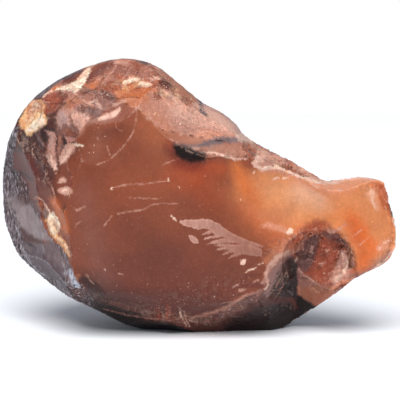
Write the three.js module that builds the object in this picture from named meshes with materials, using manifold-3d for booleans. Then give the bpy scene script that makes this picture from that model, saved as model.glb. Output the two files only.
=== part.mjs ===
// A rough chalcedony: a water-worn pebble broken open, one solid piece of stone.
// Its rind is still round on the left, underneath and behind. The front is a broad
// conchoidal fracture face, scooped out on the right down to a thin tongue.
// Millimetres, +Z up. +X is to the right and +Y goes away from the viewer of the broken face.
import * as THREE from "three";
import { mergeVertices } from "three/addons/utils/BufferGeometryUtils.js";
import Module from "manifold-3d";

const wasm = await Module();
wasm.setup();

// Driving dimensions of the pebble before it was struck
const CORE = [-6, 24]; // the middle of the outline, x and z
const EQUATOR_Y = 15; // how far behind the broken face the pebble is widest
const FRONT_BULGE = 21; // from that widest outline to the pebble's front
const FRONT_SAG = 0.13; // how far the front hangs down for each millimetre that it stands forward
const BACK_BULGE = 18; // and to its back
const TONGUE_FORWARD = 9; // how far the outline swings forward towards the tongue
const TONGUE_X = 36; // where it has swung all that way, from nothing at x = 0
const FULLNESS = 2.25; // 2 is an ellipse, more is fuller
const OVAL = [33, 23]; // the core's soft oval, half its length and half its height
const OVAL_TILT = -14; // degrees, down to the right
const OVAL_BLEND = 4; // how soon the outline turns into the oval
const OUTLINE_STEPS = 78;
const LATITUDE_STEPS = 28;

// How a scar's surface is divided
const BOWL = 0.45; // an ellipsoid's half depth, as a share of its mean radius of curvature
const RING_STEP = 3; // spacing of the rings
const FINE_REACH = 40; // beyond this from the deepest point there are only a few rings
const COARSE_RINGS = 3;
const SECTORS = 26;

// The pebble's outline seen from the front, clockwise from its leftmost point
const OUTLINE = [
  [-37.4, 24.2],
  [-35.6, 33.4],
  [-32.0, 40.9],
  [-26.5, 45.6],
  [-20.4, 48.4],
  [-14.4, 49.9],
  [-8.8, 48.8],
  [-3.9, 45.3],
  [0.4, 41.6],
  [5.2, 38.9],
  [7.4, 36.4],
  [8.4, 34.0],
  [12.4, 32.3],
  [16.0, 31.2],
  [20.0, 29.3],
  [24.6, 27.2],
  [28.9, 27.8],
  [32.8, 28.7],
  [34.4, 25.0],
  [36.1, 17.8],
  [35.1, 14.0],
  [27.6, 10.5],
  [21.8, 5.0],
  [16.8, 0.6],
  [9.0, -1.2],
  [-1.0, -1.4],
  [-10.4, 0.0],
  [-18.6, 4.0],
  [-27.2, 8.5],
  [-33.4, 12.9],
  [-36.6, 18.4],
];

// The convex fracture face that took off the whole front of the pebble
const MAIN_FACE = { at: [-6, 0, 21], bend: [150, 78] };

// Flake scars: the deepest point of each hollow, the way that it faces, and how flat it is
const SCARS = {
  // the orange scoop, and the thin tongue that it leaves
  scoop: { at: [16.6, 4.7, 25.2], yaw: 6, pitch: -2, roll: 20, bend: [52, 15] },
  scoop_root: { at: [7.6, 2.6, 29.6], yaw: 8, roll: 34, bend: [46, 26] },
  tongue_face: { at: [30, 6.2, 21.0], yaw: 16, pitch: 2, bend: [70, 70] },
  tongue_corner: { at: [34.4, 7.2, 27.4], yaw: 46, pitch: 42, bend: [16, 16] },
  tongue_notch: { at: [24.3, 6.0, 27.5], yaw: 20, pitch: 72, bend: [7, 10] },
  back_flake: { at: [26, 14.2, 20], yaw: 140, bend: [60, 45] },
  // the slope above the dark inclusion, and the ledge under it
  grainy_slope: { at: [0.1, 5.0, 38.7], yaw: 16, pitch: 40, bend: [60, 44] },
  ledge: { at: [5.2, 3.0, 34.9], yaw: 6, pitch: 26, roll: 14, bend: [60, 14] },
  ridge_high: { at: [10.4, 4.2, 34.6], yaw: 20, pitch: 40, roll: 30, bend: [18, 12] },
  ridge_middle: { at: [14.8, 4.4, 32.6], yaw: 6, pitch: 44, roll: 26, bend: [18, 12] },
  ridge_low: { at: [19.6, 5.0, 30.3], yaw: 22, pitch: 46, roll: 20, bend: [18, 12] },
  // the crown and the battered upper left
  crown: { at: [-12.6, 9.4, 46.4], yaw: -2, pitch: 54, bend: [70, 44] },
  crown_right: { at: [-5.9, 7.8, 44.8], yaw: 36, pitch: 44, bend: [44, 50] },
  crown_left: { at: [-20.4, 10.6, 46.2], yaw: -26, pitch: 56, roll: -20, bend: [44, 34] },
  crown_brow: { at: [-19.2, 6.9, 44.6], yaw: -10, pitch: 38, bend: [26, 14] },
  chip_left: { at: [-15.0, 5.2, 44.4], yaw: 14, pitch: 34, bend: [12, 14] },
  chip_middle: { at: [-11.8, 4.9, 44.6], yaw: -10, pitch: 40, bend: [12, 12] },
  chip_right: { at: [-8.4, 4.4, 44.2], yaw: 24, pitch: 32, bend: [12, 14] },
  pocket: { at: [-17.6, 4.7, 42.5], yaw: -4, pitch: 22, bend: [26, 15] },
  pink_pane: { at: [-22.2, 4.9, 41.8], yaw: -22, pitch: 16, bend: [26, 34] },
  cream_scoop: { at: [-23.4, 9.8, 44.9], yaw: -34, pitch: 42, roll: -24, bend: [24, 10] },
  red_shoulder: { at: [-26.4, 7.6, 42.2], yaw: -38, pitch: 28, bend: [44, 34] },
  dark_step: { at: [-26.6, 5.8, 38.8], yaw: -30, pitch: 6, bend: [20, 22] },
  cream_chip: { at: [-30.2, 10.2, 39.6], yaw: -58, pitch: 26, bend: [24, 28] },
  pink_blade: { at: [-25.6, 4.4, 35.0], yaw: -36, pitch: -2, roll: -6, bend: [14, 40] },
  pink_flake: { at: [-22.7, 2.6, 34.4], yaw: -16, pitch: 2, roll: 28, bend: [9, 16] },
  dark_blade: { at: [-28.7, 6.6, 31.4], yaw: -48, pitch: 4, roll: -26, bend: [18, 80] },
  ring_scar: { at: [-17.4, 2.6, 37.8], yaw: -3, pitch: 7, bend: [34, 34] },
  // along the rind's edge on the left
  bright_rim: { at: [-26.0, 4.9, 20.8], yaw: -50, pitch: -6, roll: -24, bend: [16, 90] },
  rind_facet: { at: [-29.4, 9.0, 21.4], yaw: -64, pitch: -4, roll: -18, bend: [28, 70] },
  rind_hollow: { at: [-29.6, 9.8, 13.4], yaw: -58, pitch: -34, roll: -42, bend: [22, 60] },
  // the lower front, which turns under
  lower_front: { at: [-4.0, 4.2, 3.8], yaw: -2, pitch: -28, bend: [150, 60] },
  lower_left: { at: [-19.8, 5.9, 5.6], yaw: -26, pitch: -40, bend: [60, 50] },
  sole: { at: [9.4, 6.6, 3.8], yaw: 6, pitch: -46, bend: [60, 26] },
  sole_edge: { at: [-12.0, 9.2, 1.3], yaw: -6, pitch: -64, bend: [60, 24] },
  sole_chip: { at: [-8.4, 5.9, 3.2], yaw: -20, pitch: -34, bend: [24, 20] },
  sole_nick: { at: [-1.6, 6.6, 2.4], yaw: 14, pitch: -40, bend: [22, 20] },
  // the dark lower right
  red_hollow: { at: [22.4, 6.4, 15.2], yaw: -6, pitch: -10, roll: 14, bend: [10, 13] },
  dark_pit: { at: [17.6, 6.2, 12.4], yaw: 10, pitch: -10, bend: [3, 3.5] },
  black_notch: { at: [18.6, 8.8, 4.8], yaw: -10, pitch: -36, bend: [8, 9] },
  // behind
  back_shoulder: { at: [6.0, 20.0, 36.0], yaw: 158, pitch: 46, bend: [70, 60] },
  back_spall: { at: [-20.0, 27.4, 36.4], yaw: 200, pitch: 36, bend: [34, 26] },
  back_heel: { at: [-8.0, 30.4, 12.0], yaw: 184, pitch: -20, bend: [50, 30] },
};

// Where two fracture faces meet in a valley, the hollow is only what both of them take
const VALLEYS = {
  dark_wedge: [
    { at: [14.6, 5.2, 8.8], yaw: 42, pitch: -32, bend: [60, 60] },
    { at: [21.6, 6.4, 8.6], yaw: -28, pitch: -32, bend: [60, 60] },
  ],
};

const radians = THREE.MathUtils.degToRad;

// A closed three.js geometry as a solid
function solidOf(geometry) {
  const bare = geometry.clone();
  bare.deleteAttribute("normal");
  bare.deleteAttribute("uv");
  const merged = mergeVertices(bare, 1e-4);
  const mesh = new wasm.Mesh({
    numProp: 3,
    vertProperties: new Float32Array(merged.attributes.position.array),
    triVerts: new Uint32Array(merged.index.array),
  });
  return new wasm.Manifold(mesh);
}

// A solid as a three.js geometry
function geometryOf(solid) {
  const mesh = solid.getMesh();
  const geometry = new THREE.BufferGeometry();
  geometry.setAttribute("position", new THREE.BufferAttribute(new Float32Array(mesh.vertProperties), 3));
  geometry.setIndex(new THREE.BufferAttribute(new Uint32Array(mesh.triVerts), 1));
  return geometry;
}

// The whole pebble: towards its front and back the outline shrinks and rounds off to the core's oval
function pebble() {
  const corners = OUTLINE.map(([x, z]) => new THREE.Vector3(x, 0, z));
  const outline = new THREE.CatmullRomCurve3(corners, true, "centripetal").getSpacedPoints(OUTLINE_STEPS);
  const geometry = new THREE.SphereGeometry(1, OUTLINE_STEPS, LATITUDE_STEPS);
  const position = geometry.getAttribute("position");
  const power = 2 / FULLNESS;
  for (let row = 0; row <= LATITUDE_STEPS; row++) {
    const latitude = (0.5 - row / LATITUDE_STEPS) * Math.PI; // the back comes first
    const shrink = row % LATITUDE_STEPS === 0 ? 0 : Math.cos(latitude) ** power;
    const bulge = latitude < 0 ? FRONT_BULGE : BACK_BULGE;
    const depth = Math.sign(latitude) * Math.abs(Math.sin(latitude)) ** power * bulge;
    for (let column = 0; column <= OUTLINE_STEPS; column++) {
      const edge = outline[column % OUTLINE_STEPS];
      const angle = Math.atan2(edge.z - CORE[1], edge.x - CORE[0]);
      const hard = Math.hypot(edge.x - CORE[0], edge.z - CORE[1]);
      const turned = angle - radians(OVAL_TILT);
      const soft = 1 / Math.hypot(Math.cos(turned) / OVAL[0], Math.sin(turned) / OVAL[1]);
      const reach = THREE.MathUtils.lerp(soft, hard, shrink ** OVAL_BLEND) * shrink;
      const x = CORE[0] + Math.cos(angle) * reach;
      const z = CORE[1] + Math.sin(angle) * reach + Math.min(depth, 0) * FRONT_SAG;
      const swing = THREE.MathUtils.smoothstep(x, 0, TONGUE_X) * TONGUE_FORWARD;
      position.setXYZ(row * (OUTLINE_STEPS + 1) + column, x, EQUATOR_Y - swing + depth, z);
    }
  }
  return solidOf(geometry);
}

// An ellipsoid that touches the point `at`, where its surface faces the way that `yaw` and `pitch` say,
// in degrees: yaw 0 is towards the viewer and 90 to the right, and pitch is upwards. `roll` turns it about
// that direction. `bend` is its radius of curvature there, across and up. A hollow's ellipsoid lies outside
// the stone, and a dome's holds the stone.
function ellipsoid({ at, yaw = 0, pitch = 0, roll = 0, bend }, hollow) {
  const depth = BOWL * Math.sqrt(bend[0] * bend[1]);
  const [across, up] = bend.map((radius) => Math.sqrt(radius * depth));
  const widest = Math.max(across, up);
  const arcs = [0];
  while (arcs.at(-1) < Math.PI / 2 && arcs.at(-1) * widest < FINE_REACH) {
    arcs.push(arcs.at(-1) + RING_STEP / widest);
  }
  const last = arcs.at(-1);
  for (let k = 1; k <= COARSE_RINGS; k++) arcs.push(last + ((Math.PI - last) * k) / COARSE_RINGS);
  const profile = arcs.map((arc) => new THREE.Vector2(Math.sin(arc), -Math.cos(arc)));
  profile[0].x = profile.at(-1).x = 0;
  const geometry = new THREE.LatheGeometry(profile, SECTORS); // it touches at its lowest point, on -Y
  geometry.scale(across, depth, up);
  geometry.translate(0, depth, 0);
  const turned = new THREE.Matrix4().makeRotationZ(radians(yaw));
  turned.multiply(new THREE.Matrix4().makeRotationX(radians(-pitch)));
  turned.multiply(new THREE.Matrix4().makeRotationY(radians(roll)));
  if (hollow) turned.multiply(new THREE.Matrix4().makeRotationZ(Math.PI)); // the far side of the surface
  geometry.applyMatrix4(turned);
  geometry.translate(...at);
  return solidOf(geometry);
}

let stone = pebble().intersect(ellipsoid(MAIN_FACE, false));
for (const scar of Object.values(SCARS)) stone = stone.subtract(ellipsoid(scar, true));
for (const [left, right] of Object.values(VALLEYS)) {
  stone = stone.subtract(ellipsoid(left, true).intersect(ellipsoid(right, true)));
}

// The flat that it rests on
const ground = new THREE.BoxGeometry(200, 200, 40).translate(0, 0, -20);
stone = stone.subtract(solidOf(ground));

// The origin is under the middle of the stone
const geometry = geometryOf(stone);
geometry.computeBoundingBox();
const middle = geometry.boundingBox.getCenter(new THREE.Vector3());
geometry.translate(-middle.x, -middle.y, 0);

const group = new THREE.Group();
const mesh = new THREE.Mesh(
  geometry,
  new THREE.MeshStandardMaterial({ color: 0x8a4a35, roughness: 0.4, metalness: 0 }),
);
mesh.name = "chalcedony";
group.add(mesh);
export default group;
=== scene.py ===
from math import cos, pi, radians, sin, sqrt

import bmesh
import bpy
import numpy as np
from mathutils import Matrix, Vector, noise


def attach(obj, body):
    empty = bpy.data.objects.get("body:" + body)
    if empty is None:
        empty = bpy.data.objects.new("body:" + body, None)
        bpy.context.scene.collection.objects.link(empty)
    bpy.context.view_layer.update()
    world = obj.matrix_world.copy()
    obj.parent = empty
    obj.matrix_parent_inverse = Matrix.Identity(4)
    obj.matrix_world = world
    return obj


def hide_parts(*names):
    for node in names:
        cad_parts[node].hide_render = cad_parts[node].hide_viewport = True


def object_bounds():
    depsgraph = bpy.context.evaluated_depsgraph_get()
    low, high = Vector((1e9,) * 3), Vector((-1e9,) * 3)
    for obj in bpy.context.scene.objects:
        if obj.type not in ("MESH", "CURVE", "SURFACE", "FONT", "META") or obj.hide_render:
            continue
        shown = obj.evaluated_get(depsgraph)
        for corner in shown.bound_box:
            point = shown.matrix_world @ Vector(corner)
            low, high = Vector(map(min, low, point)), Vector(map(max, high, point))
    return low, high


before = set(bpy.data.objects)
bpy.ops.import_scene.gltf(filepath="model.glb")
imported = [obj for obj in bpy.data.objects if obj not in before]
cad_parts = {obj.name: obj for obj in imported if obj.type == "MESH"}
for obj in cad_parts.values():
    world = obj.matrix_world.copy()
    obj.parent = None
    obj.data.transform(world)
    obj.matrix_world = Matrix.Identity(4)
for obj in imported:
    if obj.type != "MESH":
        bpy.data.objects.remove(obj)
cad_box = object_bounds()

# The camera
# It stands in front of the broken face, a little above it, with a long lens. The marks on the
# stone are placed as this camera sees them, so it comes first.
MM = 0.001
PICTURE = 400  # the picture's width and height, in pixels
SENSOR = 36.0
LENS = 148.0
NEAREST = 0.01
CAMERA_RISE = radians(8)
CAMERA_REACH = 0.300
LOOK_AT = Vector((0.00068, -0.0065, 0.0243))

camera_data = bpy.data.cameras.new("camera")
camera_data.lens = LENS
camera_data.sensor_width = SENSOR
camera_data.clip_start = NEAREST
camera = bpy.data.objects.new("camera", camera_data)
bpy.context.scene.collection.objects.link(camera)
camera.location = LOOK_AT + CAMERA_REACH * Vector((0, -cos(CAMERA_RISE), sin(CAMERA_RISE)))
camera.rotation_euler = (pi / 2 - CAMERA_RISE, 0, 0)
bpy.context.scene.camera = camera


def seen_at(points):
    """Where the camera sees each point, in the picture's pixels, in an array of points in millimetres"""
    forward = np.array([0, cos(CAMERA_RISE), -sin(CAMERA_RISE)])
    upward = np.array([0, sin(CAMERA_RISE), cos(CAMERA_RISE)])
    away = points - np.array(camera.location) / MM
    scale = PICTURE * LENS / SENSOR / (away @ forward)
    return np.stack([PICTURE / 2 + away[:, 0] * scale, PICTURE / 2 - away @ upward * scale], axis=1)


# The stone
# A water-worn chalcedony pebble in one piece, broken open. A dull grey rind is left on its
# left, underneath and behind. The front is glassy, and every hollow in it is a flake's scar.
MERGED = 0.001 * MM
VOXEL = 0.28 * MM

solid = bmesh.new()
solid.from_mesh(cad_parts["chalcedony"].data)
bmesh.ops.remove_doubles(solid, verts=solid.verts, dist=MERGED)
mesh = bpy.data.meshes.new("chalcedony_stone")
solid.to_mesh(mesh)
solid.free()
stone = bpy.data.objects.new("chalcedony_stone", mesh)
bpy.context.scene.collection.objects.link(stone)


def apply_modifiers():
    """Make the stone's mesh what its modifiers show"""
    shaped = stone.evaluated_get(bpy.context.evaluated_depsgraph_get())
    stone.data = bpy.data.meshes.new_from_object(shaped)
    stone.modifiers.clear()


even = stone.modifiers.new("even", "REMESH")
even.mode = "VOXEL"
even.voxel_size = VOXEL
apply_modifiers()


def of_vertices(what):
    """The places or the normals of the stone's vertices, one row each"""
    flat = np.empty(len(stone.data.vertices) * 3, np.float32)
    stone.data.vertices.foreach_get(what, flat)
    return flat.reshape(-1, 3).astype(float)


def thin_out(chosen, ratio):
    """Leave fewer faces between the chosen vertices, until this share of all faces is left"""
    group = stone.vertex_groups.new(name="thinned")
    group.add(np.flatnonzero(chosen).tolist(), 1.0, "REPLACE")
    thinner = stone.modifiers.new("thinner", "DECIMATE")
    thinner.ratio = ratio
    thinner.vertex_group = "thinned"
    apply_modifiers()
    stone.vertex_groups.clear()


# Behind and underneath the stone is round, and needs few faces
BACK_KEPT = 0.2  # share of the faces
TURNED_BACK = 0.25
TURNED_DOWN = -0.8
normals = of_vertices("normal")
facing_back = (normals[:, 1] > TURNED_BACK) | (normals[:, 2] < TURNED_DOWN)
thin_out(facing_back, 1 - (1 - BACK_KEPT) * float(facing_back.mean()))


def stroke(spots, line):
    """How many pixels each spot of the picture is outside a brush stroke, a line of x, y and half width"""
    outside = np.full(len(spots), 1e9)
    for (x, y, half), (x_2, y_2, half_2) in zip(line, line[1:] or line):
        along = np.array([x_2 - x, y_2 - y])
        share = np.clip((spots - (x, y)) @ along / max(along @ along, 1e-9), 0, 1)
        across = spots - (x, y) - share[:, None] * along
        outside = np.minimum(outside, np.linalg.norm(across, axis=1) - half - share * (half_2 - half))
    return outside


# Where the stone is battered or marked, its mesh is twice as fine
TURNED_FRONT = 0.3
FINE_ZONES = [
    [(24, 118, 8), (50, 100, 16), (90, 92, 20), (130, 84, 18), (160, 84, 12), (184, 102, 8)],
    [(30, 130, 8), (50, 150, 16), (66, 170, 14), (60, 196, 10), (72, 255, 6)],
    [(80, 140, 14), (110, 130, 24)],
    [(184, 225, 8), (215, 236, 16), (245, 250, 16), (268, 250, 14), (290, 232, 10)],
    [(300, 250, 22), (335, 258, 22), (312, 292, 16), (285, 290, 18)],
    [(150, 322, 10), (205, 322, 12), (250, 306, 12), (280, 285, 12)],
    [(202, 154, 5), (240, 158, 8), (280, 173, 8), (330, 184, 6)],
]
fine = bmesh.new()
fine.from_mesh(stone.data)
bmesh.ops.triangulate(fine, faces=fine.faces)
fine.verts.ensure_lookup_table()
spots = seen_at(of_vertices("co") / MM)
zone = np.min([stroke(spots, line) for line in FINE_ZONES], axis=0) < 0
zone &= of_vertices("normal")[:, 1] < TURNED_FRONT
inside = [edge for edge in fine.edges if zone[edge.verts[0].index] and zone[edge.verts[1].index]]
bmesh.ops.subdivide_edges(fine, edges=inside, cuts=1)
bmesh.ops.triangulate(fine, faces=fine.faces)
fine.to_mesh(stone.data)
fine.free()

# The fracture faces, as in the solid: the colour of each, the point that it touches, its radius of
# curvature across and up, in millimetres, and the way that it faces as yaw, pitch and roll. Yaw 0 is
# to the front and 90 to the right, and pitch is up. The main face is a dome, and the others hollows.
FACES = {
    "main_face": ("brown", (-6, 0, 21), (150, 78)),
    "scoop": ("peach", (16.6, 4.7, 25.2), (52, 15), 6, -2, 20),
    "scoop_root": ("brown", (7.6, 2.6, 29.6), (46, 26), 8, 0, 34),
    "tongue_face": ("peach", (30, 6.2, 21.0), (70, 70), 16, 2),
    "tongue_corner": ("tan", (34.4, 7.2, 27.4), (16, 16), 46, 42),
    "tongue_notch": ("pink", (24.3, 6.0, 27.5), (7, 10), 20, 72),
    "back_flake": ("lead", (26, 14.2, 20), (60, 45), 140),
    "grainy_slope": ("rose", (0.1, 5.0, 38.7), (60, 44), 16, 40),
    "ledge": ("clay", (5.2, 3.0, 34.9), (60, 14), 6, 26, 14),
    "ridge_high": ("dusky_pink", (10.4, 4.2, 34.6), (18, 12), 20, 40, 30),
    "ridge_middle": ("pink", (14.8, 4.4, 32.6), (18, 12), 6, 44, 26),
    "ridge_low": ("pink", (19.6, 5.0, 30.3), (18, 12), 22, 46, 20),
    "crown": ("russet", (-12.6, 9.4, 46.4), (70, 44), -2, 54),
    "crown_right": ("clay", (-5.9, 7.8, 44.8), (44, 50), 36, 44),
    "crown_left": ("brown", (-20.4, 10.6, 46.2), (44, 34), -26, 56, -20),
    "crown_brow": ("brown", (-19.2, 6.9, 44.6), (26, 14), -10, 38),
    "chip_left": ("tan", (-15.0, 5.2, 44.4), (12, 14), 14, 34),
    "chip_middle": ("peach", (-11.8, 4.9, 44.6), (12, 12), -10, 40),
    "chip_right": ("tan", (-8.4, 4.4, 44.2), (12, 14), 24, 32),
    "pocket": ("brown", (-17.6, 4.7, 42.5), (26, 15), -4, 22),
    "pink_pane": ("dusky_pink", (-22.2, 4.9, 41.8), (26, 34), -22, 16),
    "cream_scoop": ("dusky_pink", (-23.4, 9.8, 44.9), (24, 10), -34, 42, -24),
    "red_shoulder": ("umber", (-26.4, 7.6, 42.2), (44, 34), -38, 28),
    "dark_step": ("soot", (-26.6, 5.8, 38.8), (20, 22), -30, 6),
    "cream_chip": ("umber", (-30.2, 10.2, 39.6), (24, 28), -58, 26),
    "pink_blade": ("umber", (-25.6, 4.4, 35.0), (14, 40), -36, -2, -6),
    "pink_flake": ("maroon", (-22.7, 2.6, 34.4), (9, 16), -16, 2, 28),
    "dark_blade": ("umber", (-28.7, 6.6, 31.4), (18, 80), -48, 4, -26),
    "ring_scar": ("brown", (-17.4, 2.6, 37.8), (34, 34), -3, 7),
    "bright_rim": ("brown", (-26.0, 4.9, 20.8), (16, 90), -50, -6, -24),
    "rind_facet": ("umber", (-29.4, 9.0, 21.4), (28, 70), -64, -4, -18),
    "rind_hollow": ("lead", (-29.6, 9.8, 13.4), (22, 60), -58, -34, -42),
    "lower_front": ("maroon", (-4.0, 4.2, 3.8), (150, 60), -2, -28),
    "lower_left": ("maroon", (-19.8, 5.9, 5.6), (60, 50), -26, -40),
    # The sole and its edge are soot and ink: partly the dark rind underneath, partly painted shade under
    # the stone
    "sole": ("soot", (9.4, 6.6, 3.8), (60, 26), 6, -46),
    "sole_edge": ("ink", (-12.0, 9.2, 1.3), (60, 24), -6, -64),
    "sole_chip": ("maroon", (-8.4, 5.9, 3.2), (24, 20), -20, -34),
    "sole_nick": ("maroon", (-1.6, 6.6, 2.4), (22, 20), 14, -40),
    "red_hollow": ("maroon", (22.4, 6.4, 15.2), (10, 13), -6, -10, 14),
    # The pit and the notch are black as painted shade inside them
    "dark_pit": ("soot", (17.6, 6.2, 12.4), (3, 3.5), 10, -10),
    "black_notch": ("ink", (18.6, 8.8, 4.8), (8, 9), -10, -36),
    "back_shoulder": ("lead", (6.0, 20.0, 36.0), (70, 60), 158, 46),
    "back_spall": ("lead", (-20.0, 27.4, 36.4), (34, 26), 200, 36),
    "back_heel": ("lead", (-8.0, 30.4, 12.0), (50, 30), 184, -20),
    # The dark wedge is the valley between these two, where only what both of them took is gone
    "dark_wedge": ("soot", (14.6, 5.2, 8.8), (60, 60), 42, -32),
    "pink_wedge": ("dusky_pink", (21.6, 6.4, 8.6), (60, 60), -28, -32),
}
NUMBER = {name: number for number, name in enumerate(FACES)}
BOWL = 0.45  # half depth of an ellipsoid, as a share of its mean radius of curvature


def ellipsoid(dome, at, bend, yaw=0, pitch=0, roll=0):
    """The hollow that a flake left, or the dome that holds the stone: centre, turn, semi-axes and side"""
    depth = BOWL * sqrt(bend[0] * bend[1])
    turn = Matrix.Rotation(radians(yaw), 3, "Z") @ Matrix.Rotation(radians(-pitch), 3, "X")
    turn = np.array(turn @ Matrix.Rotation(radians(roll), 3, "Y"))
    side = 1 if dome else -1
    centre = np.array(at) + side * depth * turn[:, 1]
    semi_axes = np.array([sqrt(bend[0] * depth), depth, sqrt(bend[1] * depth)])
    return centre, turn, semi_axes, side


SHAPES = [ellipsoid(name == "main_face", *row[1:]) for name, row in FACES.items()]
VALLEY_NUMBER = NUMBER["dark_wedge"]


def height(shape, points):
    """How far each point stands out of a face, and the way out of it"""
    centre, turn, semi_axes, side = shape
    local = (points - centre) @ turn / semi_axes
    reach = np.linalg.norm(local, axis=1)
    slope = (local / semi_axes / reach[:, None]) @ turn.T
    steepness = np.linalg.norm(slope, axis=1)
    return side * (reach - 1) / steepness, side * slope / steepness[:, None]


def outer_faces(points):
    """The outermost face over each point and the next one: which it is, its height and the way out"""
    first = np.full(len(points), -1e9)
    second = first.copy()
    owner = np.zeros(len(points), int)
    runner_up = owner.copy()
    first_out = np.zeros_like(points)
    second_out = np.zeros_like(points)
    found = [height(shape, points) for shape in SHAPES]
    (left, left_out), (right, right_out) = found[VALLEY_NUMBER:]
    lower = left < right
    valley = (np.where(lower, left, right), np.where(lower[:, None], left_out, right_out))
    for number, (rise, out) in enumerate([*found[:VALLEY_NUMBER], valley]):
        number = np.where(lower, number, number + 1) if number == VALLEY_NUMBER else number
        over = rise > first
        between = ~over & (rise > second)
        second = np.where(over, first, np.where(between, rise, second))
        second_out = np.where(over[:, None], first_out, np.where(between[:, None], out, second_out))
        runner_up = np.where(over, owner, np.where(between, number, runner_up))
        first = np.where(over, rise, first)
        first_out = np.where(over[:, None], out, first_out)
        owner = np.where(over, number, owner)
    return owner, first, first_out, runner_up, second, second_out


# The vertices are laid on those faces, and beside a ridge on both of its faces, so that it is sharp.
# From here on the points are in millimetres, and from the origin that the faces are given from.
SOLID_ORIGIN = np.array([0.585, -16.5, 0])
TOUCHES = 0.16
RIDGE_REACH = 0.10
LONGEST_SNAP = 0.16
LONGEST_STEP = 0.2
BLUNT = 0.10  # two faces that meet at less than this keep a soft border
SETTLE_STEPS = 6
points = of_vertices("co") / MM - SOLID_ORIGIN
on_scar = outer_faces(points)[1] > -TOUCHES
laid = points[on_scar]
for _ in range(SETTLE_STEPS):
    _, rise, out, _, rise_2, out_2 = outer_faces(laid)
    move = -rise[:, None] * out
    level = np.einsum("ij,ij->i", out, out_2)
    room = 1 - level**2
    share = (level * rise_2 - rise) / np.maximum(room, BLUNT)
    share_2 = (level * rise - rise_2) / np.maximum(room, BLUNT)
    snap = share[:, None] * out + share_2[:, None] * out_2
    on_ridge = (rise_2 > -RIDGE_REACH) & (room > BLUNT) & (np.linalg.norm(snap, axis=1) < LONGEST_SNAP)
    move = np.where(on_ridge[:, None], snap, move)
    length = np.linalg.norm(move, axis=1)
    laid += move * np.minimum(1, LONGEST_STEP / np.maximum(length, 1e-9))[:, None]
points[on_scar] = laid

edges = np.empty(len(stone.data.edges) * 2, np.int32)
stone.data.edges.foreach_get("vertices", edges)
edges = edges.reshape(-1, 2)


def neighbours_mean(values):
    """The mean of each vertex's neighbours"""
    total = np.zeros_like(values)
    count = np.zeros(len(values))
    for a, b in ((0, 1), (1, 0)):
        count += np.bincount(edges[:, a], minlength=len(values))
        for axis in range(values.shape[1]):
            total[:, axis] += np.bincount(edges[:, a], values[edges[:, b], axis], len(values))
    return total / count[:, None]


def rub(where, steps):
    """Wear the stone smooth there, half of the way to its neighbours in a step"""
    for _ in range(steps):
        points[where] += 0.5 * (neighbours_mean(points) - points)[where]


def set_positions():
    """Give the mesh its points, and return the way out at each"""
    stone.data.vertices.foreach_set("co", ((points + SOLID_ORIGIN) * MM).astype(np.float32).ravel())
    stone.data.update()
    return of_vertices("normal")


# The red hollow at the lower right is shallower than its ellipsoid. The rind is worn round, and so
# is the border where the scoop runs out into the main face.
HOLLOW_FILL = 0.4  # share of the way to the next face
GROUND = 0.12  # what is lower rests on the ground, and stays as it is
TONGUE_START = 24
RIND_WEAR = 40
TONGUE_WEAR = 5
BORDER_WEAR = 30
BORDER_REACH = 0.7
SOFT_FACES = "main_face scoop scoop_root tongue_face lower_front lower_left sole_chip sole_nick".split()
grounded = points[:, 2] < GROUND
on_tongue = points[:, 0] > TONGUE_START
owner, _, _, _, rise_2, out_2 = outer_faces(points)
in_hollow = owner == NUMBER["red_hollow"]
points[in_hollow] -= HOLLOW_FILL * (rise_2[:, None] * out_2)[in_hollow]
rub(~on_scar & ~grounded & ~on_tongue, RIND_WEAR)
rub(~on_scar & on_tongue, TONGUE_WEAR)
owner, rise, _, runner_up, rise_2, _ = outer_faces(points)
soft_numbers = [NUMBER[name] for name in SOFT_FACES]
between_soft = np.isin(owner, soft_numbers) & np.isin(runner_up, soft_numbers) & (rise > -TOUCHES)
rub(between_soft & (rise_2 > -BORDER_REACH), BORDER_WEAR)
out = set_positions()

# Blender's noise starts from the clock unless it is given a seed
noise.seed_set(5)


def rough(size, depth=3):
    """A smooth random vector at each vertex, with swells of this size in millimetres"""
    return np.array([noise.turbulence_vector(Vector(p / size), depth, False) for p in points])


# Colours of the stone, fresh and weathered, in sRGB bytes
# Some of these stand in for light and shade: glint paints highlights, and ink and soot paint shade as well
# as dark stone
COLOURS = {
    "cream": (255, 234, 206), "straw": (244, 190, 138), "shell": (240, 198, 176),
    "pale_pink": (216, 166, 146), "pink": (196, 142, 124), "rose": (180, 128, 110),
    "dusky_pink": (160, 110, 98), "peach": (214, 133, 84), "orange": (206, 114, 60),
    "bright_orange": (220, 110, 52), "tan": (178, 108, 78), "rust": (176, 78, 42),
    "deep_red": (150, 52, 32), "brown": (130, 68, 47), "maroon": (104, 54, 45), "oxblood": (96, 40, 30),
    "umber": (82, 46, 40), "russet": (156, 84, 57), "salmon": (214, 144, 114), "mauve": (138, 104, 98),
    "smoke": (122, 94, 92), "slate": (84, 66, 70), "soot": (52, 38, 38), "ink": (15, 12, 13),
    "ash": (150, 132, 132), "lead": (112, 98, 100), "pewter": (190, 184, 190), "glint": (206, 212, 226),
    "clay": (160, 106, 86), "brick": (138, 64, 43), "chip": (250, 212, 188), "plum": (92, 62, 60),
}


def linear(name):
    """One of the stone's colours as linear light"""
    share = np.array(COLOURS[name], float) / 255
    return np.where(share <= 0.04045, share / 12.92, ((share + 0.055) / 1.055) ** 2.4)


# Each face starts in one colour, and where two faces run into each other so do their colours
RIND_FACES = ("rind_facet", "rind_hollow", "back_flake", "back_shoulder", "back_spall", "back_heel")
BLEND_REACH = 1.4
BLEND_STEPS = 60
rind = ((rise < -TOUCHES) | np.isin(owner, [NUMBER[name] for name in RIND_FACES])).astype(float)
tone = np.array([linear(row[0]) for row in FACES.values()])[owner]
tone[rise < -TOUCHES] = linear("lead")
blended = between_soft & (rise_2 > -BLEND_REACH)
for _ in range(BLEND_STEPS):
    tone[blended] = neighbours_mean(tone)[blended]

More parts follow.
